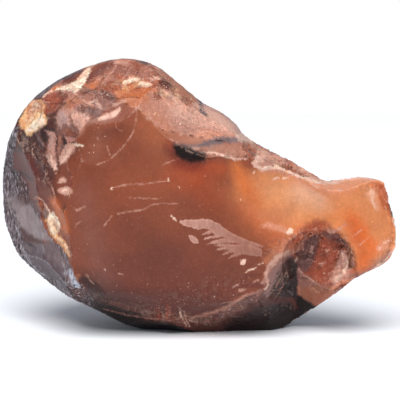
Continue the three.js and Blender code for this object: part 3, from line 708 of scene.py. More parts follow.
# The lower right and the lower rim: the dark wedge, the red hollow, the orange block and the sole
LOWER_RIGHT_TINTS = [
    ("russet", 0.9, 7, [(284, 245), (296, 236), (304, 227), (314, 220), (323, 219), (331, 227), (340, 233),
     (346, 238), (320, 235), (302, 250), (288, 256), (278, 256)]),
    ("rust", 0.6, 4, [(290, 246, 1.5), (302, 236, 2), (316, 226, 1.5), (324, 223, 1)]),
    ("tan", 0.6, 5, [(264, 262, 2), (272, 254, 3), (282, 247, 3)]),
    ("umber", 0.4, 4, [(300, 240, 1), (312, 228, 1.5), (324, 224, 1)], [(330, 230, 1), (344, 236, 1.5)]),
    ("salmon", 0.95, 3, [(260, 226), (266, 222), (272.5, 222.5), (285, 227), (288.8, 230), (285, 233.8),
     (275, 230), (265, 227.5)]),
    ("pink", 0.8, 3, [(276, 255, 0.8), (281, 251, 1.2), (286, 248, 1)],
     [(329, 233.5, 1), (339, 229.5, 1.2), (346, 224, 0.6)], [(262.8, 285, 1), (266, 276, 1.2),
     (272.5, 266, 1), (281, 257.5, 1), (290, 253, 1), (297.5, 252.5, 0.8), (302.5, 246, 0.8),
     (307.5, 238.8, 0.8)]),
    ("shell", 0.8, 1.5, [(264, 289, 0.6), (268, 286, 0.8)], [(272, 267, 0.4), (275, 264, 0.6)],
     [(262, 283, 0.6)], [(295, 261, 1), (298, 258, 0.8)]),
    ("mauve", 0.9, 5, [(264, 292), (266, 279), (272, 268), (281, 259), (290, 254), (292, 257), (284, 272),
     (280, 284), (276, 296), (266, 300)]),
    ("smoke", 0.5, 3, [(270, 284, 1.5), (278, 271, 1.5), (286, 262, 1)]),
    ("soot", 0.97, 4, [(291, 256), (297.5, 265), (296, 272.5), (298, 296), (289, 292), (279, 298),
     (270, 296), (273, 286), (279, 272), (285, 261)]),
    # The second of these ink marks is painted shade in the small pit
    ("ink", 0.85, 4, [(289, 262), (296, 268), (297, 292), (286, 292), (282, 278)], [(296.5, 267.5, 1.6)]),
    ("pink", 0.8, 1, [(276, 288, 0.4), (284, 270, 0.4)], [(281, 284, 0.3), (287, 271, 0.3)],
     [(279, 293, 0.3), (284, 283, 0.3)], [(286, 284, 0.3), (290, 272, 0.3)]),
    ("lead", 0.8, 1.5, [(288, 291, 0.8), (292, 294, 1)], [(289, 299, 0.6)]),
    ("brick", 0.97, 4, [(302.5, 249), (310, 239), (316, 234), (325, 231), (341, 239), (349, 246),
     (352, 256), (354, 270), (347, 280), (335, 287), (322, 285), (312, 279), (303, 273), (298, 266)]),
    ("rust", 0.3, 6, [(319, 246), (328, 243), (338, 250), (339, 262), (334, 274), (330, 284), (322, 284),
     (315, 276), (314, 262)]),
    ("plum", 0.95, 5, [(297, 264), (302, 250), (309, 239), (316, 234.5), (320, 238), (318, 248),
     (314, 260), (309, 271), (303, 272)]),
    ("umber", 0.6, 5, [(300, 264, 2), (304, 252, 2), (311, 241, 2)]),
    ("mauve", 0.6, 2, [(302, 262, 0.4), (308, 248, 0.5)], [(306, 266, 0.3), (313, 249, 0.4)],
     [(310, 258, 0.3), (317, 243, 0.4)]),
    ("plum", 0.9, 4, [(324, 234.5, 1.5), (336, 238.5, 4), (347, 245, 2.5)]),
    ("oxblood", 0.7, 3, [(330, 238, 1.5), (340, 242, 2)], [(350, 250, 1), (353, 262, 1.2)]),
    ("pink", 0.95, 2.5, [(340, 250), (346.5, 252), (351, 262), (353, 273), (347.5, 279), (335, 287),
     (329, 280), (334, 270), (338, 260)]),
    ("shell", 0.9, 2, [(341, 252, 1), (345, 262, 1.6), (344, 272, 2.4), (336, 280, 2.4)]),
    ("brown", 0.6, 2, [(343, 256, 0.8), (345, 264, 1), (340, 274, 1)]),
    ("oxblood", 0.6, 3, [(351, 246, 1), (354, 256, 1.5), (356, 268, 1.5), (358, 277, 1)]),
    ("dusky_pink", 0.97, 1.5, [(297.5, 267), (301, 270), (305, 275), (312.5, 279), (321, 285),
     (315, 286.5), (309, 284.5), (305, 287.5), (300, 286), (297.5, 281)]),
    ("pale_pink", 0.6, 1.5, [(299, 269, 0.5), (305, 276, 0.7), (313, 280.5, 0.7), (320, 285.5, 0.5)]),
    ("tan", 0.85, 3, [(297.5, 286), (310, 286), (322, 286), (335, 286), (332, 294), (322.5, 302),
     (315, 307), (305, 301), (297.5, 296)]),
    ("salmon", 0.8, 2.5, [(299, 288, 1), (300, 296, 1.2)], [(312, 288, 0.8), (318, 292, 1)],
     [(330, 290, 1.5), (344, 281, 2), (354, 278, 1.5)]),
    ("rust", 0.6, 2, [(306, 289, 1), (311, 299, 1.2)], [(324, 290, 1), (318, 300, 1)]),
    ("shell", 0.8, 1.2, [(320, 263.5, 0.6), (325, 266, 0.9)], [(326.5, 252, 0.4), (329, 246, 0.5)],
     [(324, 272.5, 0.8)], [(345, 251.5, 0.8)], [(347, 262, 0.8), (349, 269, 0.8)]),
    # The sole under the lower right: umber, soot and ink, partly dark stone, partly painted shade under the
    # stone
    ("umber", 0.97, 3, [(189, 322), (198, 318), (213, 313), (227, 309), (237, 300), (255, 294), (266, 296),
     (300, 298), (310, 312), (290, 326), (260, 340), (200, 340)]),
    ("mauve", 0.5, 4, [(217, 320, 2), (228, 312, 4), (244, 304, 4)], [(196, 322, 2), (208, 320, 3)]),
    ("soot", 0.95, 6,
     [(240, 314), (262, 306), (290, 303), (312, 310), (300, 326), (262, 340), (232, 340), (228, 326)]),
    ("ink", 0.8, 8,
     [(236, 320), (262, 313), (290, 308), (312, 312), (300, 326), (262, 340), (225, 340), (222, 330)]),
    ("umber", 0.3, 8,
     [(298, 268), (310, 278), (334, 287), (322, 302), (315, 307), (305, 301), (298, 296)]),
    # Painted shade: the underside at the lower left, in the dark under the stone
    ("ink", 0.85, 5,
     [(90, 298), (104, 302), (120, 308), (140, 314.5), (144, 322), (120, 320), (98, 312)]),
    ("tan", 0.7, 5, [(266, 262, 2), (276, 252, 4), (290, 246, 2.5)]),
    ("shell", 0.6, 3, [(266, 274, 1), (269, 265, 1.5), (277, 257.5, 2), (287, 252, 1.5), (295, 249, 1)]),
    ("umber", 0.55, 5, [(300, 254, 2.5), (302, 262, 3.5), (309, 268, 2)]),
    ("rust", 0.5, 7, [(296, 238, 3), (306, 230, 4), (320, 228, 4)]),
    # Painted shadow: the strip under the lower rim is inked to read as the shade beneath the stone
    ("ink", 0.97, 3, [(92, 305), (104.5, 310.5), (127.5, 315.5), (148, 320), (157, 320.5), (171, 322.5),
     (185, 328.5), (201, 331.5), (217, 331), (217, 345), (92, 345)]),
    ("dusky_pink", 0.8, 1.5,
     [(104, 309.5, 0.4), (120, 313, 0.5), (133, 316, 0.6), (155, 319, 0.6), (171, 320.5, 0.4)]),
    # Painted shade filling the black notch
    ("ink", 1.0, 4,
     [(295, 295), (301, 296), (306, 300), (311, 302.5), (318, 308), (312, 317), (302, 317), (295, 305)]),
    ("maroon", 0.7, 2.5, [(291, 299, 1.5), (296, 308, 2)]),
    ("rust", 0.5, 2.5, [(157, 308, 0.5), (159, 318, 1.5)], [(168, 305, 0.5), (167, 318, 1.5)]),
    ("pink", 0.6, 1.5, [(161, 312, 0.6), (163, 318, 1)], [(170, 306, 0.3), (169.5, 318, 0.7)]),
    ("shell", 0.75, 1.2, [(179.5, 308, 0.3), (181, 317, 0.7), (186, 325, 0.7)],
     [(184, 311, 0.3), (186, 320, 0.6), (190, 327, 0.5)]),
    ("pink", 0.75, 3, [(186.8, 317.5, 0.8), (199.6, 316.6, 1), (212, 312.6, 1.2), (225, 307.6, 1.4),
     (238, 300, 1.5), (246, 295.6, 1.3), (262, 290.4, 1)]),
    ("pale_pink", 0.8, 1.5, [(206, 317.5, 0.8), (212, 318.5, 0.8)], [(222, 311.5, 0.8), (229, 309, 0.9)],
     [(233, 287, 0.6), (238, 285, 0.8)], [(239, 290.5, 1), (245, 289.5, 1.4)],
     [(254, 281.5, 0.7), (259, 280.5, 0.7)], [(266, 272, 1.4), (267, 282, 1.6)],
     [(190, 321, 0.8), (198, 322.5, 1)]),
    ("maroon", 0.8, 3, [(246, 285, 2), (256, 285, 3), (262, 286, 2)], [(246, 276, 1.5), (258, 274, 1.5)]),
    ("umber", 0.6, 2, [(232, 293, 1), (240, 295, 1)], [(226, 300, 0.8), (234, 296, 0.8)]),
]
# The tongue's broken edge
TONGUE_EDGE_TINTS = [
    ("rust", 0.8, 2.5,
     [(378, 183), (384, 184.5), (388, 190), (390, 202), (390, 209), (384, 209.5), (379, 198)]),
    ("brown", 0.8, 2, [(376, 186, 0.8), (384, 187, 1)], [(385, 196, 0.6), (388, 206, 0.8)]),
    ("salmon", 0.7, 2, [(380, 190, 0.8), (384, 200, 0.8)]),
    # A painted highlight along the tongue's crest
    ("shell", 0.75, 3, [(371.3, 190, 1), (372.3, 202, 1.2), (376, 209.4, 0.6)]),
    ("salmon", 0.8, 2, [(376, 249), (379, 242), (386, 239), (392, 240), (388, 248), (380, 252)]),
    ("shell", 0.8, 1.5, [(378, 250, 0.5), (384, 243, 0.6), (391, 240, 0.6)]),
    ("shell", 0.85, 2, [(392.5, 211, 0.6), (396, 231, 0.8), (396, 246, 0.8), (387, 259, 0.8),
     (372, 270, 0.8), (360, 276, 0.6)]),
    ("brown", 0.7, 1.5, [(390.5, 211, 0.5), (392.5, 226, 0.8), (392, 234, 0.4)]),
]
for tints in BROAD_TINTS, UPPER_LEFT_TINTS, CROWN_TINTS, SLOPE_TINTS, LOWER_RIGHT_TINTS, TONGUE_EDGE_TINTS:
    paint(tints)

# The rind on the left, its border and its colours
LEFT_RIND = [
    (19, 126), (16, 142), (14, 155), (14, 168), (24, 178), (28, 190), (31.3, 203.7), (34.7, 209.4),
    (38, 216), (41.8, 221.8), (45.6, 229.4), (50.3, 237), (53.2, 240.8), (60.8, 246.5), (66.5, 255),
    (70.3, 262.6), (73.1, 271.2), (76, 276.9), (80.7, 284.5), (85.5, 291.1), (94, 299), (96, 340),
    (-20, 340), (-20, 126),
]
LEFT_RIND_WANDER = 0.6
LEFT_RIND_TOP = 122
LEFT_RIND_FOOT = 320
LEFT_RIND_END = 110  # in the picture, as the two before
LEFT_RIND_TURN = 0.1
RIND_TINTS = [
    ("lead", 1.0, 6, [(0, 126), (17, 126), (17, 210), (24, 250), (70, 300), (60, 320), (0, 320)]),
    # A paler smooth facet of the rind, partly painted sheen
    ("ash", 1.0, 4, [(18, 208), (24, 205), (31, 204), (36.5, 212), (42, 222), (54, 241.5), (42, 240),
     (28.5, 234), (17, 221)]),
    ("lead", 1.0, 2.5, [(21, 241), (28, 242), (38, 244), (53, 241), (61, 247), (67, 256), (71, 264),
     (69, 274), (62, 284), (48, 277), (36, 269), (28.5, 258.5), (23, 249.5)]),
    ("slate", 0.95, 8, [(34, 254, 5), (48, 266, 7), (60, 276, 6)]),
    ("soot", 0.35, 8, [(34, 262, 3), (50, 274, 4), (62, 282, 4)]),
    ("lead", 0.9, 2, [(61, 246, 0.8), (66.5, 255, 1), (70.5, 263, 1.2), (73, 272, 1.2)]),
    ("soot", 0.9, 2, [(61, 281, 0.8), (68, 290, 1.8), (76, 298, 1.8), (84, 304, 1)]),
    ("pewter", 0.85, 1.3,
     [(20.4, 242.7, 0.3), (24.7, 252.2, 0.6), (30.4, 263.6, 0.6), (38, 271.2, 0.6), (45.6, 276, 0.3)]),
    ("pewter", 0.6, 1.5, [(36.5, 213, 0.3), (42, 222, 0.6), (52, 239, 0.4)],
     [(16, 226, 0.5), (19, 234, 0.6)]),
    ("pewter", 0.7, 1.5, [(62, 262, 0.5), (67, 274, 0.8)], [(64, 272, 0.5), (67, 280, 0.6)]),
    ("glint", 0.95, 2,
     [(68, 268), (71, 269), (75.5, 279), (80.7, 285), (80, 288.5), (73, 287), (69, 277)]),
    ("ink", 0.97, 1.5, [(19, 236, 0.5), (24.7, 241.5, 0.9), (30, 245, 1.5), (36, 248, 0.6)],
     [(25.6, 249.3, 0.5), (29.4, 253, 0.7)]),
    ("ink", 0.7, 1.5, [(31.5, 205, 0.4), (35, 210.5, 0.5), (39, 219, 0.4)]),
    ("slate", 0.55, 8, [(12, 152, 8), (8, 180, 7)]),
    ("ash", 0.7, 10, [(9, 199, 6), (16, 207, 7)]),
    ("slate", 0.6, 3, [(0, 150, 2.5), (0, 180, 2.5), (3, 230, 2), (14, 262, 1.5), (34, 288, 1.5),
     (60, 306, 2), (90, 318, 3)]),
    # Painted shade: the rind's underside at the lower left, near the ground
    ("soot", 0.85, 6, [(84, 296), (94, 300), (96, 330), (70, 330), (60, 312), (76, 306)]),
]
at_left = (spots[:, 0] < LEFT_RIND_END) & (out[:, 1] < LEFT_RIND_TURN)
at_left &= (spots[:, 1] > LEFT_RIND_TOP) & (spots[:, 1] < LEFT_RIND_FOOT)
rind[at_left] = (outside([LEFT_RIND], LEFT_RIND_WANDER)[at_left] < 0).astype(float)
fresh_tone = tone.copy()
paint(RIND_TINTS)
tone[rind < 0.5] = fresh_tone[rind < 0.5]

# The ridge over the scoop and the crown's left edge, over rind and fresh stone alike
RIDGE_TINTS = [
    ("maroon", 0.8, 4, [(94, 64, 2), (100, 60, 3), (112, 57, 3)]),
    ("rust", 0.6, 4, [(118, 57, 2), (140, 57, 3)]),
    ("shell", 0.6, 2, [(88, 72, 0.6), (92, 66, 0.8), (96, 63, 0.6)], [(104, 59, 0.5), (112, 58, 0.6)]),
    ("pale_pink", 0.8, 3, [(196, 104, 2), (216, 116, 4), (236, 130, 4), (246, 138, 3)]),
    ("shell", 0.9, 3, [(236, 136, 1), (244, 136, 3), (252, 141, 2)]),
    ("russet", 0.7, 2.5, [(262, 144, 0.8), (270, 150, 1)], [(286, 158, 0.8), (296, 166, 1)],
     [(304, 168, 1), (318, 173, 0.8)]),
    ("pale_pink", 0.8, 2, [(270, 148, 0.8), (284, 156, 0.8)], [(296, 164, 0.6), (304, 169, 0.6)],
     [(316, 171, 0.8), (330, 179, 0.8)]),
    ("brown", 0.9, 3, [(242, 143), (251, 143), (259, 150), (256, 158), (250, 163), (245, 156)]),
    ("pale_pink", 0.95, 3, [(258, 152), (265, 149), (268, 155), (264, 162), (258, 168), (253, 165)]),
    ("brown", 0.8, 3, [(261, 161), (266, 158.5), (274, 158.5), (281, 162), (277, 166), (266, 166.5)],
     [(284, 161, 1.5), (294, 168, 2), (303, 173, 2)]),
    ("shell", 0.95, 2.5, [(257, 167, 1.4), (262, 169, 2), (268, 168, 2), (277, 166, 2.2), (286, 168.5, 2),
     (293, 174.4, 1.8), (301, 176.6, 2), (312, 179, 2), (320, 182, 1.8), (336, 183, 1.2)],
     [(258, 152, 1.6), (257, 160, 1.8), (254, 166, 1)], [(237, 136, 1), (246, 138, 2.2), (252, 143, 1)]),
    ("cream", 0.7, 1.2, [(262, 168, 0.6), (268, 167, 0.8)], [(274, 165.4, 0.6), (279, 166, 0.8)],
     [(298, 176, 0.8), (304, 177.4, 0.6)], [(314, 179.6, 1), (319, 182, 0.8)]),
    ("salmon", 0.7, 4, [(338, 182, 2), (356, 179, 2), (376, 179, 2)]),
    ("shell", 0.8, 1.5, [(337, 182.4, 0.6), (348, 178.5, 0.8), (362, 177.5, 0.8), (378, 178.5, 0.8)]),
]
paint(RIDGE_TINTS)


def most(places):
    """How much of something each vertex has, from places with an amount, a border's width and a mark"""
    found = np.zeros(len(points))
    for amount, softness, line in places:
        found = np.maximum(found, amount * np.clip(0.5 - outside([line]) / softness, 0, 1))
    return found


# Where the surface is broken small or pitted, its colour is in flecks. The rind is pitted but for one part
FLECKED = [
    (0.6, 10, [(40, 110, 8), (60, 96, 8), (92, 92, 14), (130, 80, 14), (168, 84, 12), (186, 100, 6)]),
    (0.9, 6, [(16, 143, 4), (24, 142, 7), (34, 150, 6), (44, 163, 4)]),
    (0.45, 8, [(60, 124, 8), (90, 106, 12)]),
    (0.15, 8, [(50, 160, 8), (46, 190, 8)]),
    (0.5, 8, [(56, 225, 6), (70, 256, 5)]),
    (0.35, 12, [(190, 116, 14), (222, 130, 8)]),
    (0.35, 6, [(205, 151, 4), (240, 154, 6), (270, 164, 7), (326, 180, 4)]),
    (0.45, 8, [(268, 252, 6), (296, 236, 6), (318, 226, 4), (350, 244, 3), (354, 266, 3)]),
    (0.25, 8, [(312, 258, 12), (336, 262, 12), (320, 288, 10)]),
    (0.7, 8, [(98, 297, 3), (130, 307, 3), (168, 317, 4), (206, 321, 5), (240, 308, 5)]),
    (0.45, 8, [(256, 300, 5), (272, 290, 6), (288, 270, 5)]),
    (0.4, 8, [(345, 182, 4), (385, 190, 5), (394, 220, 4), (390, 252, 4), (360, 276, 4)]),
    (0.3, 30, [(150, 306, 8), (210, 296, 10), (250, 280, 6)]),
]
SMOOTH_RIND = [
    [(6, 200), (16, 195), (32, 200), (36, 212), (44, 226), (56, 244), (68, 264), (70, 280), (44, 274),
     (26, 256), (16, 214)],
]
LEAST_PITTED = 0.15
PIT_BORDER = 6
pitted = np.clip(0.5 + outside(SMOOTH_RIND) / PIT_BORDER, 0, 1)
flecks = np.where(rind > 0.5, LEAST_PITTED + (1 - LEAST_PITTED) * pitted, most(FLECKED))

# Where the stone is broken into flat shards: a seed, a shard's size in millimetres, how far it drops
# and tilts, its colours and their strength, how much longer it is one way, how far that way leans
# from upright to the right in degrees, and the marks
SHARDS = [
    # The battered upper left
    (1, 2.6, 0.15, 0.08, ("brown", "maroon", "mauve", "tan", "dusky_pink"), 0.35, 1, 0,
     [(62, 104, 10), (92, 102, 16), (118, 100, 8)]),
    (2, 1.3, 0.07, 0.08, ("brown", "mauve", "dusky_pink", "tan", "pink"), 0.35, 1, 0,
     [(84, 104, 10), (108, 106, 8)], [(62, 130, 8), (74, 128, 8)]),
    (3, 1.6, 0.35, 0.14, ("soot", "umber", "slate", "maroon"), 0.45, 2.4, -28,
     [(30, 138, 8), (42, 160, 10), (46, 184, 8)]),
    (4, 2.6, 0.12, 0.05, ("pink", "shell", "mauve"), 0.25, 3.2, 14, [(50, 134, 5), (50, 164, 5)],
     [(62, 150, 5), (70, 150, 6)]),
    (5, 0.9, 0.2, 0.2, ("cream", "straw", "tan", "shell"), 0.5, 1, 0, [(34, 108, 8), (34, 122, 10)]),
    (6, 1.0, 0.12, 0.12, ("cream", "shell", "tan"), 0.4, 1, 0, [(86, 76, 3), (76, 88, 3), (62, 91, 2)]),
    # The crown
    (7, 2.2, 0.25, 0.1, ("tan", "rust", "brown", "pink", "peach"), 0.22, 1.8, 65,
     [(94, 70, 6), (122, 66, 8), (150, 72, 10), (172, 86, 8), (188, 102, 6)]),
    (8, 1.2, 0.15, 0.14, ("tan", "rust", "pink", "straw", "brown"), 0.35, 1.6, 40,
     [(96, 82, 6), (122, 84, 8), (150, 84, 8), (176, 96, 7)]),
    # The lower rim
    (9, 1.8, 0.25, 0.12, ("umber", "maroon", "dusky_pink", "umber"), 0.35, 1.8, 80,
     [(112, 303, 3), (134, 309, 3), (168, 318, 4), (206, 321, 5)]),
    (10, 1.3, 0.25, 0.14, ("maroon", "dusky_pink", "umber", "smoke"), 0.45, 1.8, 60,
     [(206, 321, 5), (240, 307, 5), (262, 293, 5)]),
    # These shards' soot and ink are partly painted shade under the stone
    (11, 1.8, 0.3, 0.1, ("soot", "ink", "ink"), 0.4, 1.8, 70,
     [(228, 324, 6), (262, 318, 8), (290, 306, 8)]),
    # The dark lower right
    (12, 0.9, 0.2, 0.16, ("soot", "slate", "ink"), 0.2, 3.0, 18,
     [(276, 296, 7), (284, 272, 8), (292, 290, 8)]),
    (13, 3.0, 0.6, 0.12, ("umber", "maroon", "brown"), 0.2, 1, 0,
     [(306, 250, 12), (320, 236, 10), (340, 240, 10), (344, 262, 10)]),
    (22, 1.6, 0.3, 0.14, ("umber", "maroon", "brown"), 0.25, 1, 0,
     [(308, 252, 10), (328, 262, 14), (336, 246, 8)]),
    (14, 0.9, 0.08, 0.12, ("umber", "rust", "maroon", "pink", "tan"), 0.5, 1, 0,
     [(348, 244, 4), (353, 268, 4), (344, 284, 5)], [(300, 232, 5), (318, 224, 4), (284, 243, 4)]),
    (15, 1.6, 0.25, 0.14, ("dusky_pink", "pink", "tan"), 0.35, 1, 0,
     [(306, 280, 7), (326, 284, 8), (340, 276, 6)]),
    # Beside the rind
    (16, 1.1, 0.15, 0.16, ("cream", "straw", "shell", "tan"), 0.5, 1.6, -30,
     [(40, 204, 4), (52, 222, 5), (64, 248, 3)]),
    # The ridge over the scoop, and the tongue's edge
    (21, 3.4, 0.6, 0.14, ("pink", "pale_pink", "russet", "tan"), 0.3, 1, 0,
     [(246, 138, 6), (262, 148, 9), (284, 158, 9), (304, 168, 8), (328, 178, 6)]),
    (17, 2.0, 0.35, 0.16, ("pink", "shell", "russet", "salmon"), 0.3, 1.6, 60,
     [(246, 148, 7), (262, 156, 8), (284, 164, 7), (304, 172, 6), (328, 181, 4)]),
    (18, 1.3, 0.15, 0.14, ("shell", "pale_pink", "pink"), 0.35, 1.6, 70,
     [(250, 158, 4), (272, 167, 4), (300, 177, 4), (332, 184, 3)]),
    (20, 1.6, 0.3, 0.16, ("tan", "rust", "straw"), 0.35, 1, 0,
     [(374, 184, 5), (388, 198, 6), (392, 214, 5)], [(394, 240, 4), (386, 260, 4)]),
]
FINE_SPACING = 0.5 * VOXEL / MM
SCATTER_SWELL = 0.9
SCATTER = 0.35  # of a shard's size
SHARD_BORDER = 3.0
SHARD_WANDER = 0.6
FEWEST_SHARDS = 4
DROP_CURVE = 1.5  # most shards drop little
DEEPEST = 2  # in drops
HIGHEST = 0.2
DARKEST, BRIGHTEST = 0.75, 1.25
FAINTEST_SHARD = 0.2
scatter = rough(SCATTER_SWELL)
for seed, size, drop, tilt, colours, strength, stretch, lean, *marks in SHARDS:
    chance = np.random.default_rng(seed)
    reach = outside(marks, SHARD_WANDER)
    where = np.flatnonzero(reach < 0)
    long_way = np.array([sin(radians(lean)), 0, cos(radians(lean))])
    place = points[where] + SCATTER * size * scatter[where]
    place = place - (1 - 1 / stretch) * (place @ long_way)[:, None] * long_way
    area = len(where) * FINE_SPACING**2 / stretch
    count = max(FEWEST_SHARDS, int(area / size**2))
    middles = place[chance.choice(len(where), count, replace=False)]
    shard = np.array([np.argmin(np.sum((middles - one) ** 2, axis=1)) for one in place])
    offset = -drop * chance.uniform(0, 1, count) ** DROP_CURVE
    slope = chance.normal(0, tilt, (count, 3))
    move = offset[shard] + np.einsum("ij,ij->i", place - middles[shard], slope[shard])
    move = np.clip(move, -DEEPEST * drop, HIGHEST * drop)
    inward = np.clip(-reach[where] / SHARD_BORDER, 0, 1)
    points[where] += out[where] * (move * inward)[:, None]
    picked = np.array([linear(name) for name in colours])[chance.integers(len(colours), size=count)]
    picked = picked * chance.uniform(DARKEST, BRIGHTEST, (count, 1))
    share = strength * chance.uniform(FAINTEST_SHARD, 1, count)[shard]
    share = (share * np.clip(2 * inward, 0, 1))[:, None]
    tone[where] = tone[where] * (1 - share) + picked[shard] * share
    out = set_positions()


def sharpness():
    """How far each vertex stands out of its neighbours, in millimetres"""
    curve = np.einsum("ij,ij->i", points - neighbours_mean(points), out)
    return 0.5 * curve + 0.5 * neighbours_mean(curve[:, None])[:, 0]


# Every ridge has lost small chips: here and there, where it is sharp, it is worn back
RIDGE_CHIPS = ((1.2, 1.6), (0.6, 1.0))  # swell in millimetres, how much of the sharpness goes
SHARPEST = 0.08
CHIP_CONTRAST = 4
CHIP_START = 0.4
for size, amount in RIDGE_CHIPS:
    broken = np.clip(CHIP_CONTRAST * rough(size, 2)[:, 0] - CHIP_START, 0, 1)
    worn = np.clip(sharpness(), 0, SHARPEST) * amount * broken * (rise > -TOUCHES)
    points -= out * worn[:, None]
    out = set_positions()

# The grain of the slope and of the rind, and a little unevenness everywhere
GRAINY_FACES = ("grainy_slope", "crown_right")
GRAIN_SWELL = 0.55
GRAIN_HEIGHT = 0.05
GRAIN_ANYWHERE, GRAIN_ON_SLOPE, GRAIN_ON_RIND = 0.1, 0.3, 0.4  # of that height
SWELL = 3.0
SWELL_HEIGHT = 0.06
grain = np.isin(owner, [NUMBER[name] for name in GRAINY_FACES]) * (1 - rind)
grain_share = (GRAIN_ANYWHERE + GRAIN_ON_SLOPE * grain + GRAIN_ON_RIND * rind)[:, None]
points += out * (rough(GRAIN_SWELL, 2)[:, :1] * GRAIN_HEIGHT * grain_share)
points += out * (rough(SWELL, 2)[:, :1] * SWELL_HEIGHT)
out = set_positions()

# Crushed edges are pale, and the valleys between get painted shade, but less so in the shade of the foot
CRUSHED = 0.02
FOOT = 3
FOOT_EDGE = 0.3
curve = sharpness()
edge = np.clip(curve / CRUSHED, -1, 1)
edge[points[:, 2] < FOOT] *= FOOT_EDGE

# Thin flakes that have half come loose stand up a little. They are pale, partly with painted reflection of
# the light overhead, and fade to the right
LOOSE_FLAKES = [
    [(179.7, 220.7), (186, 219.6), (194.5, 220), (202.9, 218.6), (211.3, 220), (219.7, 223.8),
     (223.9, 228), (234.4, 234.3), (249, 240.6), (263.8, 245.9), (262.7, 247.4), (249, 245.3),
     (238, 243.6), (231, 240.5), (226, 238.2), (222, 236.8), (203, 240), (206, 237.2), (216, 235),
     (213, 233), (202, 235), (205, 232), (211, 230), (204, 228.6), (198, 229.6), (192, 227.5),
     (186, 226.8), (181, 223.5)],
    [(214.4, 245.2), (219.7, 243.8), (232, 244.4), (249, 244.8), (261.7, 249), (262, 256.4), (249, 255.3),
     (241, 254.3), (236, 256), (228, 258.8), (231, 255), (237, 252.6), (230, 252.6), (221.5, 255.2),
     (226, 251.4), (232, 249.8), (224, 249.4), (214.8, 250.6), (221, 247.6), (226, 247)],
    [(222, 238.2), (232, 240.6), (238, 243.2), (226, 242.6), (206, 244.4), (212, 241.5)],
    [(188.5, 235.6), (192, 235), (196, 237.5), (198.7, 241), (197.5, 243.8), (192.5, 242.8),
     (189.5, 239)],
]
LOOSE_WANDER = 0.1
LOOSE_RISE = 0.045
LOOSE_BORDER = 1.5
FADE_START = 190
FADE_SPAN = 90
FAINTEST = 0.45

# Hairline cracks, and chips that are small and pale
HAIRLINE_WANDER = 0.05
HAIRLINES = [
    [(110.4, 188, 0.3), (121, 185.6, 0.6), (131.4, 184.3, 0.7), (144, 183.9, 0.6), (156.6, 182.2, 0.5),
     (169.2, 181, 0.3)],
    [(129.3, 197.6, 0.5), (139.8, 198.2, 0.6), (150.3, 198.2, 0.5), (163, 199.7, 0.3)],
    [(117.8, 213.7, 0.7), (129.3, 211.6, 0.7), (144, 209.5, 0.7), (150.3, 205.3, 0.7), (160.8, 203.2, 0.6),
     (179.7, 203.9, 0.4)],
    [(162.6, 164.8, 0.4), (178.6, 158.4, 0.5)],
    [(104, 226, 0.6), (108, 221, 0.6), (112, 216, 0.4)],
    [(70.8, 205.6, 0.3), (77, 209.7, 0.4)],
    [(76.5, 211, 0.8), (86, 206, 0.6)],
    [(75.3, 227.3, 0.5), (76.5, 223.5, 0.5), (81, 222, 0.4)],
    [(86, 274, 0.5), (90, 280, 0.6), (94, 284, 0.4)],
    [(92, 271, 0.3), (94, 276, 0.4)],
    [(352, 237, 0.4), (361, 230, 0.6)],
    [(357.5, 246.4, 0.4), (368.6, 237, 0.6), (372.3, 236, 0.4)],
    [(107, 146, 0.3), (110.2, 156, 0.4)],
    [(163, 89, 0.4), (170, 97, 0.5), (180, 110, 0.3)],
    [(162, 95, 0.3), (168, 102, 0.5), (175, 112, 0.3)],
    [(173, 97, 0.9), (177, 103, 0.8), (178, 106, 0.4)],
    [(168, 92, 0.3), (178, 100, 0.5), (186, 108, 0.3)],
    [(106, 78, 0.5), (112, 72, 0.4), (117, 64, 0.5)],
    [(122, 80, 0.4), (127, 73, 0.5), (132, 66, 0.4)],
    [(97, 137, 0.2), (98.5, 140, 0.3)],
    [(115, 124, 0.3), (118, 129, 0.3), (122, 131, 0.2)],
    [(146.2, 104, 0.5), (150.3, 117.6, 0.6), (158.4, 129.7, 0.7), (169.6, 139, 0.7), (178.6, 143, 0.5)],
    [(135.4, 104, 0.6), (136.8, 115, 0.7), (134, 130, 0.6), (129.8, 138, 0.5), (120.9, 149.5, 0.5),
     (109.4, 159.7, 0.5), (96.6, 164.8, 0.4)],
]
CHIP_WANDER = 0.2
PALE_CHIPS = [
    [(62.5, 191, 0.9), (66, 189.5, 0.8)],
    [(111.6, 188.4, 1.2)],
    [(178.6, 187, 1.0)],
    [(168.5, 178.5, 0.6), (168.5, 180, 0.9)],
    [(205, 176, 0.5)],
    [(171.5, 216, 0.6), (176, 221, 0.7)],
    [(240.5, 199.5, 0.7)],
    [(105, 270, 0.6)],
    [(119, 274, 0.4), (124, 275, 0.4)],
    [(286, 232.5), (289.5, 228), (294, 229.3), (292.5, 233), (289, 234.3)],
    [(239.5, 263.5), (241, 260.5), (244, 259), (246.6, 260), (246, 262.5), (243, 265), (240, 265)],
    [(245, 272.6, 0.3), (250, 270, 0.9), (255, 268.5, 0.6)],
    [(258, 265, 0.3), (263, 263.4, 0.7)],
    [(77, 284, 0.3)],
    [(264, 290, 0.6), (268, 286, 0.8)],
]
fade = np.clip(1 - (spots[:, 0] - FADE_START) / FADE_SPAN, FAINTEST, 1)
loose = outside(LOOSE_FLAKES, LOOSE_WANDER)
hairline = outside(HAIRLINES, HAIRLINE_WANDER)
pale_chip = outside(PALE_CHIPS, CHIP_WANDER)
points += out * (np.clip(-loose, 0, LOOSE_BORDER) * LOOSE_RISE)[:, None]
out = set_positions()

